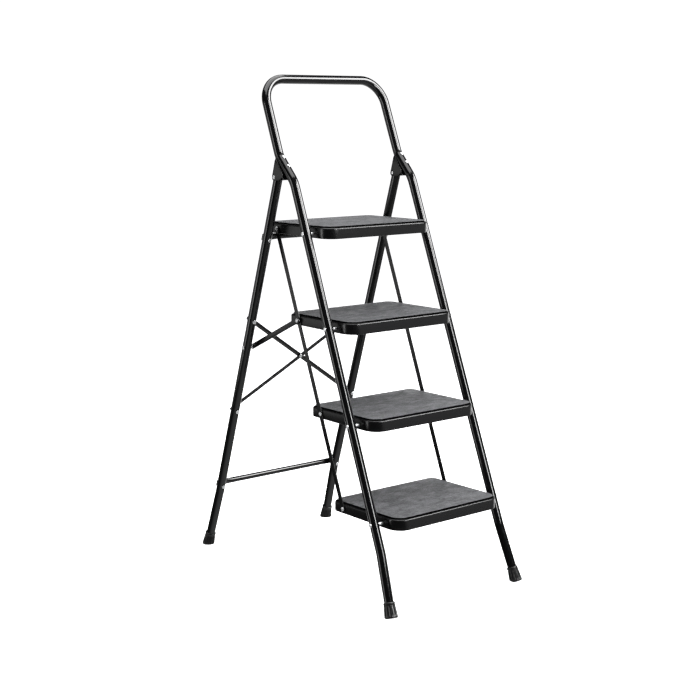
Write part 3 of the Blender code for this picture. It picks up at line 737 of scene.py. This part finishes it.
def rounded_path(corners, radii, bend_step):
    """Straight runs between the corners, with an arc of the given radius at each."""
    path = [corners[0]]
    for before, corner, after, radius in zip(corners, corners[1:], corners[2:], radii):
        inward = (before - corner).normalized()
        outward = (after - corner).normalized()
        turn = math.pi - inward.angle(outward)
        setback = radius * math.tan(turn / 2)
        bisector = (inward + outward).normalized()
        centre = corner + bisector * (radius / math.cos(turn / 2))
        first = corner + inward * setback - centre
        axis = inward.cross(outward).normalized()
        steps = max(1, math.ceil(turn / bend_step))
        for step in range(steps + 1):
            path.append(centre + Matrix.Rotation(-turn * step / steps, 3, axis) @ first)
    path.append(corners[-1])
    return path


def tube(context, corners, radii):
    """A steel tube of real wall thickness along rounded corners."""
    sizes = context.scene.ladder_sizes
    path = rounded_path(corners, radii, sizes.bend_step)
    line = bpy.data.meshes.new("path")
    line.from_pydata(path, [(index, index + 1) for index in range(len(path) - 1)], [])
    skin = grown(line, "Tube Along Path", radius=sizes.tube_radius, sides=sizes.tube_sides,
                 material=finish_named(context, "tube_enamel"))
    shape = bmesh.new()
    shape.from_mesh(skin)
    return modified(finished(shape), "SOLIDIFY", thickness=sizes.tube_wall, offset=-1.0)


def add_piece(context, name, mesh, finish, body, *nodes):
    """Link a finished piece, let it ride on its body and stand for its CAD nodes."""
    mesh.name = name
    mesh.materials.clear()
    mesh.materials.append(finish_named(context, finish))
    mesh.shade_smooth()
    mesh.set_sharp_from_angle(angle=SMOOTH_ANGLE)
    piece = linked(name, mesh)
    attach(piece, body)
    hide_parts(*nodes)
    return piece


# --------------------------------------------------------------------- pieces

def front_corners():
    """Corner points of the front tube, from the left foot over the top to the right."""
    bend = rail_point(RAIL_BEND_Z)
    upward = (bend - FRONT_FOOT).normalized()
    end = FRONT_FOOT + (FOOT_SOCKET_FLOOR + CLEARANCE) * upward
    half = [end, bend, LOWER_KINK, UPPER_KINK, HANDLE_CORNER]
    return [mirrored(point, -1.0) for point in half] + half[::-1]


def foot(context, floor_point, bend):
    """A fluted rubber cup square to its leg, with the low half of its sole level."""
    sizes = context.scene.ladder_sizes
    upward = (bend - floor_point).normalized()
    start = perpendicular(upward)
    other = upward.cross(start).normalized()
    sides = sizes.flute_count * 10
    socket = sizes.tube_radius + CLEARANCE
    inside = [(FOOT_LENGTH, socket, 0.0), (FOOT_SOCKET_FLOOR, socket, 0.0)]
    loops = []
    for distance, radius, share in FOOT_PROFILE + inside:
        loop = []
        for index in range(sides):
            turn = 2 * math.pi * index / sides
            groove = max(0.0, math.cos(sizes.flute_count * turn)) ** 0.7
            reach = radius - share * sizes.flute_depth * groove
            loop.append(floor_point + distance * upward
                        + reach * (math.cos(turn) * start + math.sin(turn) * other))
        loops.append(loop)
    return levelled(loft(loops))


def levelled(mesh):
    """Cut off whatever hangs below the floor and close the cut."""
    shape = bmesh.new()
    shape.from_mesh(mesh)
    everything = shape.verts[:] + shape.edges[:] + shape.faces[:]
    bmesh.ops.bisect_plane(shape, geom=everything, dist=0.000001, plane_co=(0.0, 0.0, 0.0),
                           plane_no=(0.0, 0.0, 1.0), clear_inner=True)
    bmesh.ops.holes_fill(shape, edges=[edge for edge in shape.edges if edge.is_boundary])
    return finished(shape)


def bracket_outline():
    """Side outline of a bracket cheek with its web, as (up, back) pairs."""
    web = TUBE_RADIUS + CLEARANCE
    hinge = HINGE - KINK_MIDDLE
    lobe = (hinge.dot(KINK_UP), hinge.dot(KINK_BACK))
    points = [BRACKET_FRONT, (BRACKET_TOE, web - BRACKET_TAIL_LIP),
              (BRACKET_TAIL, web - BRACKET_TAIL_LIP), (BRACKET_TAIL, web + BRACKET_SHEET),
              (BRACKET_TOE, web + BRACKET_SHEET), BRACKET_HEEL]
    for step in range(17):
        turn = math.radians(BRACKET_LOBE_START - BRACKET_LOBE_SWEEP * step / 16)
        points.append((lobe[0] + BRACKET_LOBE_RADIUS * math.cos(turn),
                       lobe[1] + BRACKET_LOBE_RADIUS * math.sin(turn)))
    return points + BRACKET_APEX


def hinge_bracket(side):
    """A web behind the kinked tube with two cheeks, and a pressed ring round each pin."""
    centre = beside(BRACKET_X, KINK_MIDDLE, side)
    width = BRACKET_CHEEK_GAP + BRACKET_SHEET
    outline = [centre - width * ACROSS + up * KINK_UP + back * KINK_BACK
               for up, back in bracket_outline()]
    block = extruded(outline, 2 * width * ACROSS)
    web_front = TUBE_RADIUS + CLEARANCE
    web_back = web_front + BRACKET_SHEET
    for near, far in ((web_front - 0.06, web_front), (web_back, web_back + 0.06)):
        cavity = [centre - BRACKET_CHEEK_GAP * ACROSS + up * KINK_UP + back * KINK_BACK
                  for up, back in ((-0.06, near), (0.06, near), (0.06, far), (-0.06, far))]
        block = carved(block, extruded(cavity, 2 * BRACKET_CHEEK_GAP * ACROSS))
    pin = beside(BRACKET_X, HINGE, side)
    ring_profile = [(width - 0.0002, 0.0060), (width + 0.0003, 0.0062),
                    (width + 0.0005, 0.0068), (width + 0.0003, 0.0074),
                    (width - 0.0002, 0.0077)]
    rings = [turned(ring_profile, pin, facing * ACROSS) for facing in (-1.0, 1.0)]
    return joined([eased(block, 0.0006)] + rings)


def flat_oval(centre, wide, thick, width, thickness, sides=40):
    """A tube's section squeezed to a width and a thickness, with round edges."""
    points = []
    for index in range(sides):
        turn = 2 * math.pi * (index + 0.5) / sides
        shift = math.copysign((width - thickness) / 2, math.cos(turn))
        along = shift + math.cos(turn) * thickness / 2
        points.append(centre + along * wide + math.sin(turn) * thickness / 2 * thick)
    return points


def smooth(share):
    """Ease a share between nought and one."""
    share = min(max(share, 0.0), 1.0)
    return share * share * (3.0 - 2.0 * share)


def crossbar(context, z):
    """A round bar between the back legs, its ends pressed flat."""
    full = 2 * context.scene.ladder_sizes.crossbar_radius
    middle = leg_point(z)
    offset = TUBE_RADIUS + CLEARANCE + CROSSBAR_FLAT[1] / 2
    line = beside(0.0, middle) + offset * LEG_BACK
    end = middle.x + CROSSBAR_OVERHANG
    stations = [(end, 0.0, 0.86), (end - 0.0006, 0.0, 0.95), (end - 0.002, 0.0, 1.0),
                (middle.x - 0.014, 0.0, 1.0)]
    stations += [(middle.x - 0.014 - 0.032 * step / 12, step / 12, 1.0)
                 for step in range(1, 13)]
    loops = []
    for x, share, trim in stations:
        ease = smooth(share)
        width = trim * (CROSSBAR_FLAT[0] + ease * (full - CROSSBAR_FLAT[0]))
        thickness = CROSSBAR_FLAT[1] + ease * (full - CROSSBAR_FLAT[1])
        loops.append((x, width, thickness * (0.6 + 0.4 * trim)))
    both = [(-x, width, thickness) for x, width, thickness in loops] + loops[::-1]
    return loft([flat_oval(line + x * ACROSS, LEG_UP, LEG_BACK, width, thickness)
                 for x, width, thickness in both])


def brace_end(z, side):
    """Centre of a brace's end where it lies on the back of a leg."""
    offset = TUBE_RADIUS + CLEARANCE + BRACE_THICKNESS / 2
    return mirrored(leg_point(z), side) + offset * LEG_BACK


def crossing_point(left, right):
    """Where the line between two brace ends crosses the ladder's middle plane."""
    return left.lerp(right, left.x / (left.x - right.x))


def diagonal_brace(left_z, right_z, bow):
    """A flat strip between the legs with a pressed rib that dies out at its rivets."""
    left = brace_end(left_z, -1.0)
    right = brace_end(right_z, 1.0)
    along = (right - left).normalized()
    wide = along.cross(LEG_BACK).normalized()
    reach = (right - left).length
    half = BRACE_WIDTH / 2
    middle = (crossing_point(left, right) - left).length
    ends = [(-BRACE_END, 0.50), (-0.85 * BRACE_END, 0.72), (-0.6 * BRACE_END, 0.88),
            (-0.25 * BRACE_END, 0.98), (0.0, 1.0)]
    stations = ends + [(reach * step / 60, 1.0) for step in range(1, 60)]
    stations += [(reach - distance, share) for distance, share in ends[::-1]]
    sections = []
    for distance, share in stations:
        inside = min(max(distance / reach, 0.0), 1.0)
        lift = bow * min(1.0, math.sin(math.pi * inside) / math.sin(0.45 * math.pi))
        centre = left + distance * along + lift * LEG_BACK
        clear = min(distance, reach - distance, abs(distance - middle))
        rib = 0.0009 * smooth((clear - 0.012) / 0.020)
        thin = BRACE_THICKNESS / 2 - 0.4 * rib
        sides = [(-share, -0.6 * thin), (-share, 0.6 * thin), (-0.92 * share, thin),
                 (-0.45, thin), (0.45, thin), (0.92 * share, thin), (share, 0.6 * thin),
                 (share, -0.6 * thin), (0.92 * share, -thin), (0.42, -thin),
                 (0.20, -thin - rib), (-0.20, -thin - rib), (-0.42, -thin),
                 (-0.92 * share, -thin)]
        sections.append([centre + min(max(across, -share), share) * half * wide
                         + depth * LEG_BACK for across, depth in sides])
    return loft(sections)


def tread_loop(sizes, inset, height):
    """The tread's rounded outline, drawn in by an inset, at a height over the pivot."""
    half = TREAD_HALF_WIDTH - inset
    front = TREAD_FRONT + inset
    back = TREAD_BACK - inset
    corners = [(half, front, TREAD_FRONT_RADIUS - inset, -90.0),
               (half, back, TREAD_BACK_RADIUS - inset, 0.0),
               (-half, back, TREAD_BACK_RADIUS - inset, 90.0),
               (-half, front, TREAD_FRONT_RADIUS - inset, 180.0)]
    loop = []
    for x, y, radius, start in corners:
        centre_x = x - math.copysign(radius, x)
        centre_y = y + radius if start in (-90.0, 180.0) else y - radius
        for step in range(sizes.corner_steps + 1):
            turn = math.radians(start + 90.0 * step / sizes.corner_steps)
            loop.append(Vector((centre_x + radius * math.cos(turn),
                                centre_y + radius * math.sin(turn), height)))
    return loop


def skirt_loop(sizes, inset, above):
    """A loop a little above the skirt's lower edge, which rises towards the back."""
    slope = (SKIRT_BACK - SKIRT_FRONT) / (TREAD_BACK - TREAD_FRONT)
    loop = tread_loop(sizes, inset, 0.0)
    for point in loop:
        point.z = SKIRT_FRONT + slope * (point.y - TREAD_FRONT) + above
    return loop


def quarter(steps):
    """Turns from nought to a right angle."""
    return [math.radians(90.0 * step / steps) for step in range(steps + 1)]


def step_tray(sizes, pivot):
    """A pressed pan with a rounded shoulder and its lower edge hemmed inwards."""
    shoulder = quarter(8)
    outside = [tread_loop(sizes, SHOULDER_RADIUS * (1 - math.sin(turn)),
                          SHOULDER_Z + SHOULDER_RADIUS * math.cos(turn)) for turn in shoulder]
    lower = [skirt_loop(sizes, SHEET * (1 - math.cos(turn)), SHEET * (1 - math.sin(turn)))
             for turn in quarter(4)]
    hem = [skirt_loop(sizes, HEM_DEPTH, 0.0), skirt_loop(sizes, HEM_DEPTH + 0.0004, 0.0005),
           skirt_loop(sizes, HEM_DEPTH, 0.0010), skirt_loop(sizes, SHEET + 0.0006, 0.0011),
           skirt_loop(sizes, SHEET, 0.0018)]
    inner_radius = SHOULDER_RADIUS - SHEET
    inside = [tread_loop(sizes, SHEET + inner_radius * (1 - math.sin(turn)),
                         SHOULDER_Z + inner_radius * math.cos(turn))
              for turn in shoulder[::-2]]
    pan = loft(outside + lower + hem + inside)
    pan.transform(Matrix.Translation(pivot))
    return pan


def step_mat(sizes, pivot):
    """The mat on a tray, with a softly rounded upper edge."""
    bottom = DECK_Z + CLEARANCE
    top = sizes.mat_top
    corner = sizes.mat_round
    loops = [tread_loop(sizes, sizes.mat_inset + 0.0003, bottom),
             tread_loop(sizes, sizes.mat_inset, bottom + 0.0003),
             tread_loop(sizes, sizes.mat_inset, top - corner)]
    for turn in quarter(5)[1:]:
        loops.append(tread_loop(sizes, sizes.mat_inset + corner * (1 - math.cos(turn)),
                                top - corner * (1 - math.sin(turn))))
    sheet = loft(loops)
    sheet.transform(Matrix.Translation(pivot))
    return sheet


def strip(start, end, inner_x, side):
    """A flat strip on edge between two pivots, with round ends and eased edges."""
    along = (end - start).normalized()
    wide = Vector((0.0, -along.z, along.y))
    outline = []
    for centre, first in ((end, 90.0), (start, 270.0)):
        for step in range(17):
            turn = math.radians(first - 180.0 * step / 16)
            reach = STRIP_WIDTH / 2
            outline.append(centre + reach * (math.cos(turn) * along + math.sin(turn) * wide)
                           + side * inner_x * ACROSS)
    return eased(extruded(outline, side * STRIP_THICKNESS * ACROSS), 0.0005, 3)


def fasteners(context, pins, dimple=0.0, head_scale=1.0):
    """One mesh of pins, each (near face, aim, grip, shank radius, tail height)."""
    sizes = context.scene.ladder_sizes
    seeds = bpy.data.meshes.new("pins")
    seeds.from_pydata([pin[0] for pin in pins], [], [])
    aims = seeds.attributes.new("aim", "FLOAT_VECTOR", "POINT")
    aims.data.foreach_set("vector", [value for pin in pins for value in pin[1]])
    for column, label in ((2, "grip"), (3, "shank"), (4, "tail")):
        numbers = seeds.attributes.new(label, "FLOAT", "POINT")
        numbers.data.foreach_set("value", [pin[column] for pin in pins])
    return grown(seeds, "Pins And Rivets", head_radius=head_scale * sizes.head_radius,
                 head_height=sizes.head_height, dimple=dimple,
                 material=finish_named(context, "bright_zinc"))


def step_pin(number, side, tail):
    """Pivot pin from inside the tread's skirt to the outside of the rail."""
    centre = rail_point(tread_pivot(number).z)
    near = TREAD_HALF_WIDTH - SHEET - CLEARANCE
    grip = centre.x + TUBE_RADIUS + CLEARANCE - near
    return (beside(near, centre, side), side * ACROSS, grip, STEP_SHANK, tail)


def tie_rivet(number, side, tail):
    """Rivet through tread skirt and tie bar."""
    near = TREAD_HALF_WIDTH - SHEET - CLEARANCE
    place = tread_pivot(number) + TIE_OFFSET + near * ACROSS
    return (mirrored(place, side), side * ACROSS,
            TIE_INNER_X + STRIP_THICKNESS + CLEARANCE - near, RIVET_SHANK, tail)


def link_tread_rivet(side):
    """Rivet in the link's tread end, flush inside."""
    place = tread_pivot(LINK_TREAD) + TIE_OFFSET + (LINK_INNER_X + 0.0001) * ACROSS
    return (mirrored(place, side), side * ACROSS,
            STRIP_THICKNESS + CLEARANCE - 0.0001, RIVET_SHANK, 0.0001)


def hinge_pin(side, tail):
    """Pin through both bracket cheeks and the top of the back leg."""
    face = BRACKET_CHEEK_GAP + BRACKET_SHEET + CLEARANCE
    near = beside(BRACKET_X - face, HINGE, side)
    return (near, side * ACROSS, 2 * face, HINGE_SHANK, tail)


def link_leg_rivet(side, tail):
    """Rivet through the link and the back leg."""
    near = LINK_INNER_X - CLEARANCE
    grip = LINK_LEG_PIVOT.x + TUBE_RADIUS + CLEARANCE - near
    return (beside(near, LINK_LEG_PIVOT, side), side * ACROSS, grip, RIVET_SHANK, tail)


def link_spacer(side):
    """The collar that holds the link clear of the back leg."""
    near = LINK_INNER_X + STRIP_THICKNESS + CLEARANCE
    far = LINK_LEG_PIVOT.x - TUBE_RADIUS - CLEARANCE
    profile = [(near, 0.0026), (near, 0.0050), (near + 0.0002, 0.0052),
               (far - 0.0002, 0.0052), (far, 0.0050), (far, 0.0026)]
    return turned(profile, beside(0.0, LINK_LEG_PIVOT), side * ACROSS)


def frame_rivet(z, side, plate, tail):
    """Rivet from behind a plate, through the back leg, to its front."""
    start = mirrored(leg_point(z), side) + (TUBE_RADIUS + 2 * CLEARANCE + plate) * LEG_BACK
    grip = 2 * TUBE_RADIUS + 3 * CLEARANCE + plate
    return (start, -LEG_BACK, grip, RIVET_SHANK, tail)


def bracket_rivet(place, side, tail):
    """Tubular rivet through the kinked tube and the bracket's web."""
    origin = mirrored(KINK_MIDDLE, side) + place * KINK_UP
    start = origin + (TUBE_RADIUS + 2 * CLEARANCE + BRACKET_SHEET) * KINK_BACK
    grip = 2 * TUBE_RADIUS + 4 * CLEARANCE + BRACKET_SHEET
    return (start, -KINK_BACK, grip, TUBULAR_SHANK, tail)


# ------------------------------------------------------------------ operators

class LADDER_OT_stage(bpy.types.Operator):
    """Set the floor, the soft studio light and the camera."""

    bl_idname = "ladder.stage"
    bl_label = "Stage"

    def execute(self, context):
        scene = context.scene
        scene.view_settings.view_transform = "Standard"
        self.add_floor(context)
        self.light_world(scene)
        for light in LIGHTS:
            self.add_light(*light)
        self.add_camera(context)
        return {"FINISHED"}

    @staticmethod
    def add_floor(context):
        """A wide pale disc under the feet."""
        shape = bmesh.new()
        bmesh.ops.create_circle(shape, cap_ends=True, segments=96, radius=FLOOR_RADIUS)
        mesh = bpy.data.meshes.new("studio_floor")
        shape.to_mesh(mesh)
        shape.free()
        mesh.transform(Matrix.Translation(FLOOR_DROP))
        mesh.materials.append(finish_named(context, "studio_floor"))
        floor = linked("studio_floor", mesh)
        floor.visible_glossy = False
        floor.visible_diffuse = False

    @staticmethod
    def light_world(scene):
        """White behind the ladder, dim where its gloss would mirror the room."""
        world = bpy.data.worlds.new("studio_world")
        world.use_nodes = True
        scene.world = world
        board = Board(world.node_tree)
        seen = board.add("ShaderNodeLightPath", None, None, "Is Camera Ray")
        background = world.node_tree.nodes["Background"]
        heading = board.add("ShaderNodeTexCoord", None, None, "Object")
        height = board.add("ShaderNodeSeparateXYZ", None, {"Vector": heading}, "Z")
        below = board.eased(height, -0.42, -0.75, 0.05, 0.80)
        low = board.eased(height, 0.06, -0.06, 0.0, 1.40)
        behind = board.eased(board.towards(heading, (0.77, 0.64, 0.0)), 0.55, 0.92)
        before = board.eased(board.towards(heading, (0.64, -0.77, 0.0)), 0.75, 0.97)
        strength = seen.math("MAXIMUM", 1.05 * seen, below + low * (behind + 0.28 * before))
        world.node_tree.links.new(strength.socket, background.inputs["Strength"])
        background.inputs["Color"].default_value = (1.0, 1.0, 1.0, 1.0)

    @staticmethod
    def add_light(name, place, target, size, power):
        """A soft rectangular lamp aimed at a target."""
        lamp = bpy.data.lights.new(name, "AREA")
        lamp.shape = "RECTANGLE"
        lamp.size, lamp.size_y = size
        lamp.energy = power
        holder = linked(name, lamp)
        holder.location = place
        aim = Vector(target) - Vector(place)
        holder.rotation_euler = aim.to_track_quat("-Z", "Y").to_euler()
        holder.visible_camera = False

    @staticmethod
    def add_camera(context):
        """The camera in front of the ladder, to its left."""
        camera = bpy.data.cameras.new("camera")
        camera.sensor_width = 36.0
        camera.lens = CAMERA_LENS
        holder = linked("camera", camera)
        holder.location = CAMERA_PLACE
        holder.rotation_euler = (math.pi / 2 + CAMERA_TILT, 0.0, -CAMERA_TURN)
        context.scene.camera = holder


class LADDER_OT_front_tube(bpy.types.Operator):
    """Bend the two rails and the hand rail from one tube."""

    bl_idname = "ladder.front_tube"
    bl_label = "Rails and hand rail"

    def execute(self, context):
        rails = tube(context, front_corners(), FRONT_BEND_RADII + FRONT_BEND_RADII[::-1])
        add_piece(context, "rails_and_hand_rail", rails, "tube_enamel", "front_frame",
                  "front_tube")
        return {"FINISHED"}


class LADDER_OT_back_legs(bpy.types.Operator):
    """Bend the two back legs."""

    bl_idname = "ladder.back_legs"
    bl_label = "Back legs"

    def execute(self, context):
        bend = leg_point(LEG_BEND_Z)
        upward = (bend - BACK_FOOT).normalized()
        corners = [BACK_FOOT + (FOOT_SOCKET_FLOOR + CLEARANCE) * upward, bend,
                   HINGE + LEG_PAST_HINGE * LEG_UP]
        for name, side in SIDES.items():
            leg = tube(context, [mirrored(point, side) for point in corners],
                       [LEG_BEND_RADIUS])
            add_piece(context, f"back_leg_tube_{name}", leg, "tube_enamel", "back_frame",
                      f"back_leg_{name}")
        return {"FINISHED"}


class LADDER_OT_feet(bpy.types.Operator):
    """Mould the four fluted rubber feet."""

    bl_idname = "ladder.feet"
    bl_label = "Feet"

    def execute(self, context):
        for name, side in SIDES.items():
            for row, floor_point, bend in (("front", FRONT_FOOT, rail_point(RAIL_BEND_Z)),
                                           ("back", BACK_FOOT, leg_point(LEG_BEND_Z))):
                cup = foot(context, mirrored(floor_point, side), mirrored(bend, side))
                add_piece(context, f"fluted_{row}_foot_{name}", cup, "foot_rubber",
                          f"{row}_frame", f"{row}_foot_{name}")
        return {"FINISHED"}


class LADDER_OT_brackets(bpy.types.Operator):
    """Press the two hinge brackets."""

    bl_idname = "ladder.brackets"
    bl_label = "Hinge brackets"

    def execute(self, context):
        for name, side in SIDES.items():
            add_piece(context, f"pressed_bracket_{name}", hinge_bracket(side),
                      "sheet_enamel", "front_frame", f"hinge_bracket_{name}")
        return {"FINISHED"}


class LADDER_OT_cross_members(bpy.types.Operator):
    """Make the crossbars and the diagonal braces of the back frame."""

    bl_idname = "ladder.cross_members"
    bl_label = "Crossbars and braces"

    def execute(self, context):
        for name, z in (("upper", UPPER_CROSSBAR_Z), ("lower", LOWER_CROSSBAR_Z)):
            add_piece(context, f"{name}_cross_tube", crossbar(context, z), "tube_enamel",
                      "back_frame", f"{name}_crossbar")
        for name, left, right, bow in (("falling", BRACE_TOP_Z, BRACE_BOTTOM_Z, BRACE_BOW),
                                       ("rising", BRACE_BOTTOM_Z, BRACE_TOP_Z, -BRACE_BOW)):
            add_piece(context, f"ribbed_brace_{name}", diagonal_brace(left, right, bow),
                      "sheet_enamel", "back_frame", f"brace_{name}")
        return {"FINISHED"}


class LADDER_OT_trays(bpy.types.Operator):
    """Press the four tread trays."""

    bl_idname = "ladder.trays"
    bl_label = "Tread trays"

    def execute(self, context):
        for number in TREADS:
            tray = step_tray(context.scene.ladder_sizes, tread_pivot(number))
            add_piece(context, f"tread_tray_{number}", tray, "sheet_enamel",
                      f"step_{number}", f"step_tray_{number}")
        return {"FINISHED"}


class LADDER_OT_mats(bpy.types.Operator):
    """Lay the grained mats on the trays."""

    bl_idname = "ladder.mats"
    bl_label = "Mats"

    def execute(self, context):
        for number in TREADS:
            mat = step_mat(context.scene.ladder_sizes, tread_pivot(number))
            add_piece(context, f"tread_mat_{number}", mat, "grained_mat",
                      f"step_{number}", f"step_mat_{number}")
        return {"FINISHED"}


class LADDER_OT_linkage(bpy.types.Operator):
    """Cut the tie bars and the links."""

    bl_idname = "ladder.linkage"
    bl_label = "Tie bars and links"

    def execute(self, context):
        joint = tread_pivot(LINK_TREAD) + TIE_OFFSET
        lower = tread_pivot(TREADS[0]) + TIE_OFFSET
        upper = tread_pivot(TREADS[-1]) + TIE_OFFSET
        leg_end = beside(0.0, LINK_LEG_PIVOT)
        for name, side in SIDES.items():
            add_piece(context, f"flat_tie_bar_{name}", strip(lower, upper, TIE_INNER_X, side),
                      "sheet_enamel", f"tie_{name}", f"tie_bar_{name}")
            add_piece(context, f"flat_link_{name}", strip(joint, leg_end, LINK_INNER_X, side),
                      "sheet_enamel", f"link_arm_{name}", f"link_{name}")
        return {"FINISHED"}


class LADDER_OT_fasteners(bpy.types.Operator):
    """Set every pin and rivet, one mesh for each body."""

    bl_idname = "ladder.fasteners"
    bl_label = "Pins and rivets"

    def execute(self, context):
        tail = context.scene.ladder_sizes.tail_height
        sides = list(SIDES.items())
        front = [step_pin(number, side, tail) for number in TREADS for _, side in sides]
        front += [hinge_pin(side, tail) for _, side in sides]
        nodes = [f"step_pin_{number}_{name}" for number in TREADS for name, _ in sides]
        nodes += [f"hinge_pin_{name}" for name, _ in sides]
        add_piece(context, "front_frame_pins", fasteners(context, front), "bright_zinc",
                  "front_frame", *nodes)
        tubular = [bracket_rivet(place, side, tail)
                   for place in BRACKET_RIVETS for _, side in sides]
        nodes = [f"bracket_rivet_{name}_{level}" for level in ("upper", "lower")
                 for name, _ in sides]
        add_piece(context, "bracket_tubular_rivets",
                  fasteners(context, tubular, 0.85, 0.88), "bright_zinc", "front_frame",
                  *nodes)
        self.rivet_back_frame(context, sides, tail)
        for name, side in sides:
            ties = [tie_rivet(number, side, tail) for number in TREADS]
            nodes = [f"tie_rivet_{number}_{name}" for number in TREADS]
            add_piece(context, f"tie_bar_rivets_{name}", fasteners(context, ties),
                      "bright_zinc", f"tie_{name}", *nodes)
            link_rivet = fasteners(context, [link_tread_rivet(side)])
            add_piece(context, f"link_end_rivet_{name}", link_rivet, "bright_zinc",
                      f"link_arm_{name}", f"link_tread_rivet_{name}")
        return {"FINISHED"}

    @staticmethod
    def rivet_back_frame(context, sides, tail):
        """The rivets of the back legs, crossbars and braces."""
        pins = [link_leg_rivet(side, tail) for _, side in sides]
        nodes = [f"link_leg_rivet_{name}" for name, _ in sides]
        for level, z in (("upper", UPPER_CROSSBAR_Z), ("lower", LOWER_CROSSBAR_Z)):
            pins += [frame_rivet(z, side, CROSSBAR_FLAT[1], tail) for _, side in sides]
            nodes += [f"crossbar_rivet_{level}_{name}" for name, _ in sides]
        for level, z in (("upper", BRACE_TOP_Z), ("lower", BRACE_BOTTOM_Z)):
            pins += [frame_rivet(z, side, BRACE_THICKNESS, tail) for _, side in sides]
            nodes += [f"brace_rivet_{level}_{name}" for name, _ in sides]
        crossing = crossing_point(brace_end(BRACE_TOP_Z, -1.0), brace_end(BRACE_BOTTOM_Z, 1.0))
        face = BRACE_BOW + BRACE_THICKNESS / 2 + CLEARANCE
        pins.append((crossing + face * LEG_BACK, -LEG_BACK, 2 * face, RIVET_SHANK, tail))
        nodes.append("brace_centre_rivet")
        rivets = joined([fasteners(context, pins)] + [link_spacer(side) for _, side in sides])
        add_piece(context, "back_frame_rivets", rivets, "bright_zinc", "back_frame", *nodes)


OPERATORS = (
    LADDER_OT_stage,
    LADDER_OT_front_tube,
    LADDER_OT_back_legs,
    LADDER_OT_feet,
    LADDER_OT_brackets,
    LADDER_OT_cross_members,
    LADDER_OT_trays,
    LADDER_OT_mats,
    LADDER_OT_linkage,
    LADDER_OT_fasteners,
)


class LADDER_PT_pieces(bpy.types.Panel):
    """Sizes, colours and one button for each group of pieces."""

    bl_idname = "LADDER_PT_pieces"
    bl_label = "Folding ladder"
    bl_space_type = "VIEW_3D"
    bl_region_type = "UI"
    bl_category = "Ladder"

    def draw(self, context):
        layout = self.layout
        for settings in (context.scene.ladder_sizes, context.scene.ladder_finishes):
            box = layout.box()
            for key in settings.__annotations__:
                box.prop(settings, key)
        for operator in OPERATORS:
            layout.operator(operator.bl_idname)


CLASSES = (LadderSizes, LadderFinishes, *OPERATORS, LADDER_PT_pieces)


def register():
    for item in CLASSES:
        bpy.utils.register_class(item)
    bpy.types.Scene.ladder_sizes = bpy.props.PointerProperty(type=LadderSizes)
    bpy.types.Scene.ladder_finishes = bpy.props.PointerProperty(type=LadderFinishes)


def unregister():
    del bpy.types.Scene.ladder_finishes
    del bpy.types.Scene.ladder_sizes
    for item in reversed(CLASSES):
        bpy.utils.unregister_class(item)


def main():
    register()
    for operator in OPERATORS:
        group, name = operator.bl_idname.split(".")
        getattr(getattr(bpy.ops, group), name)()


if __name__ == "__main__":
    main()
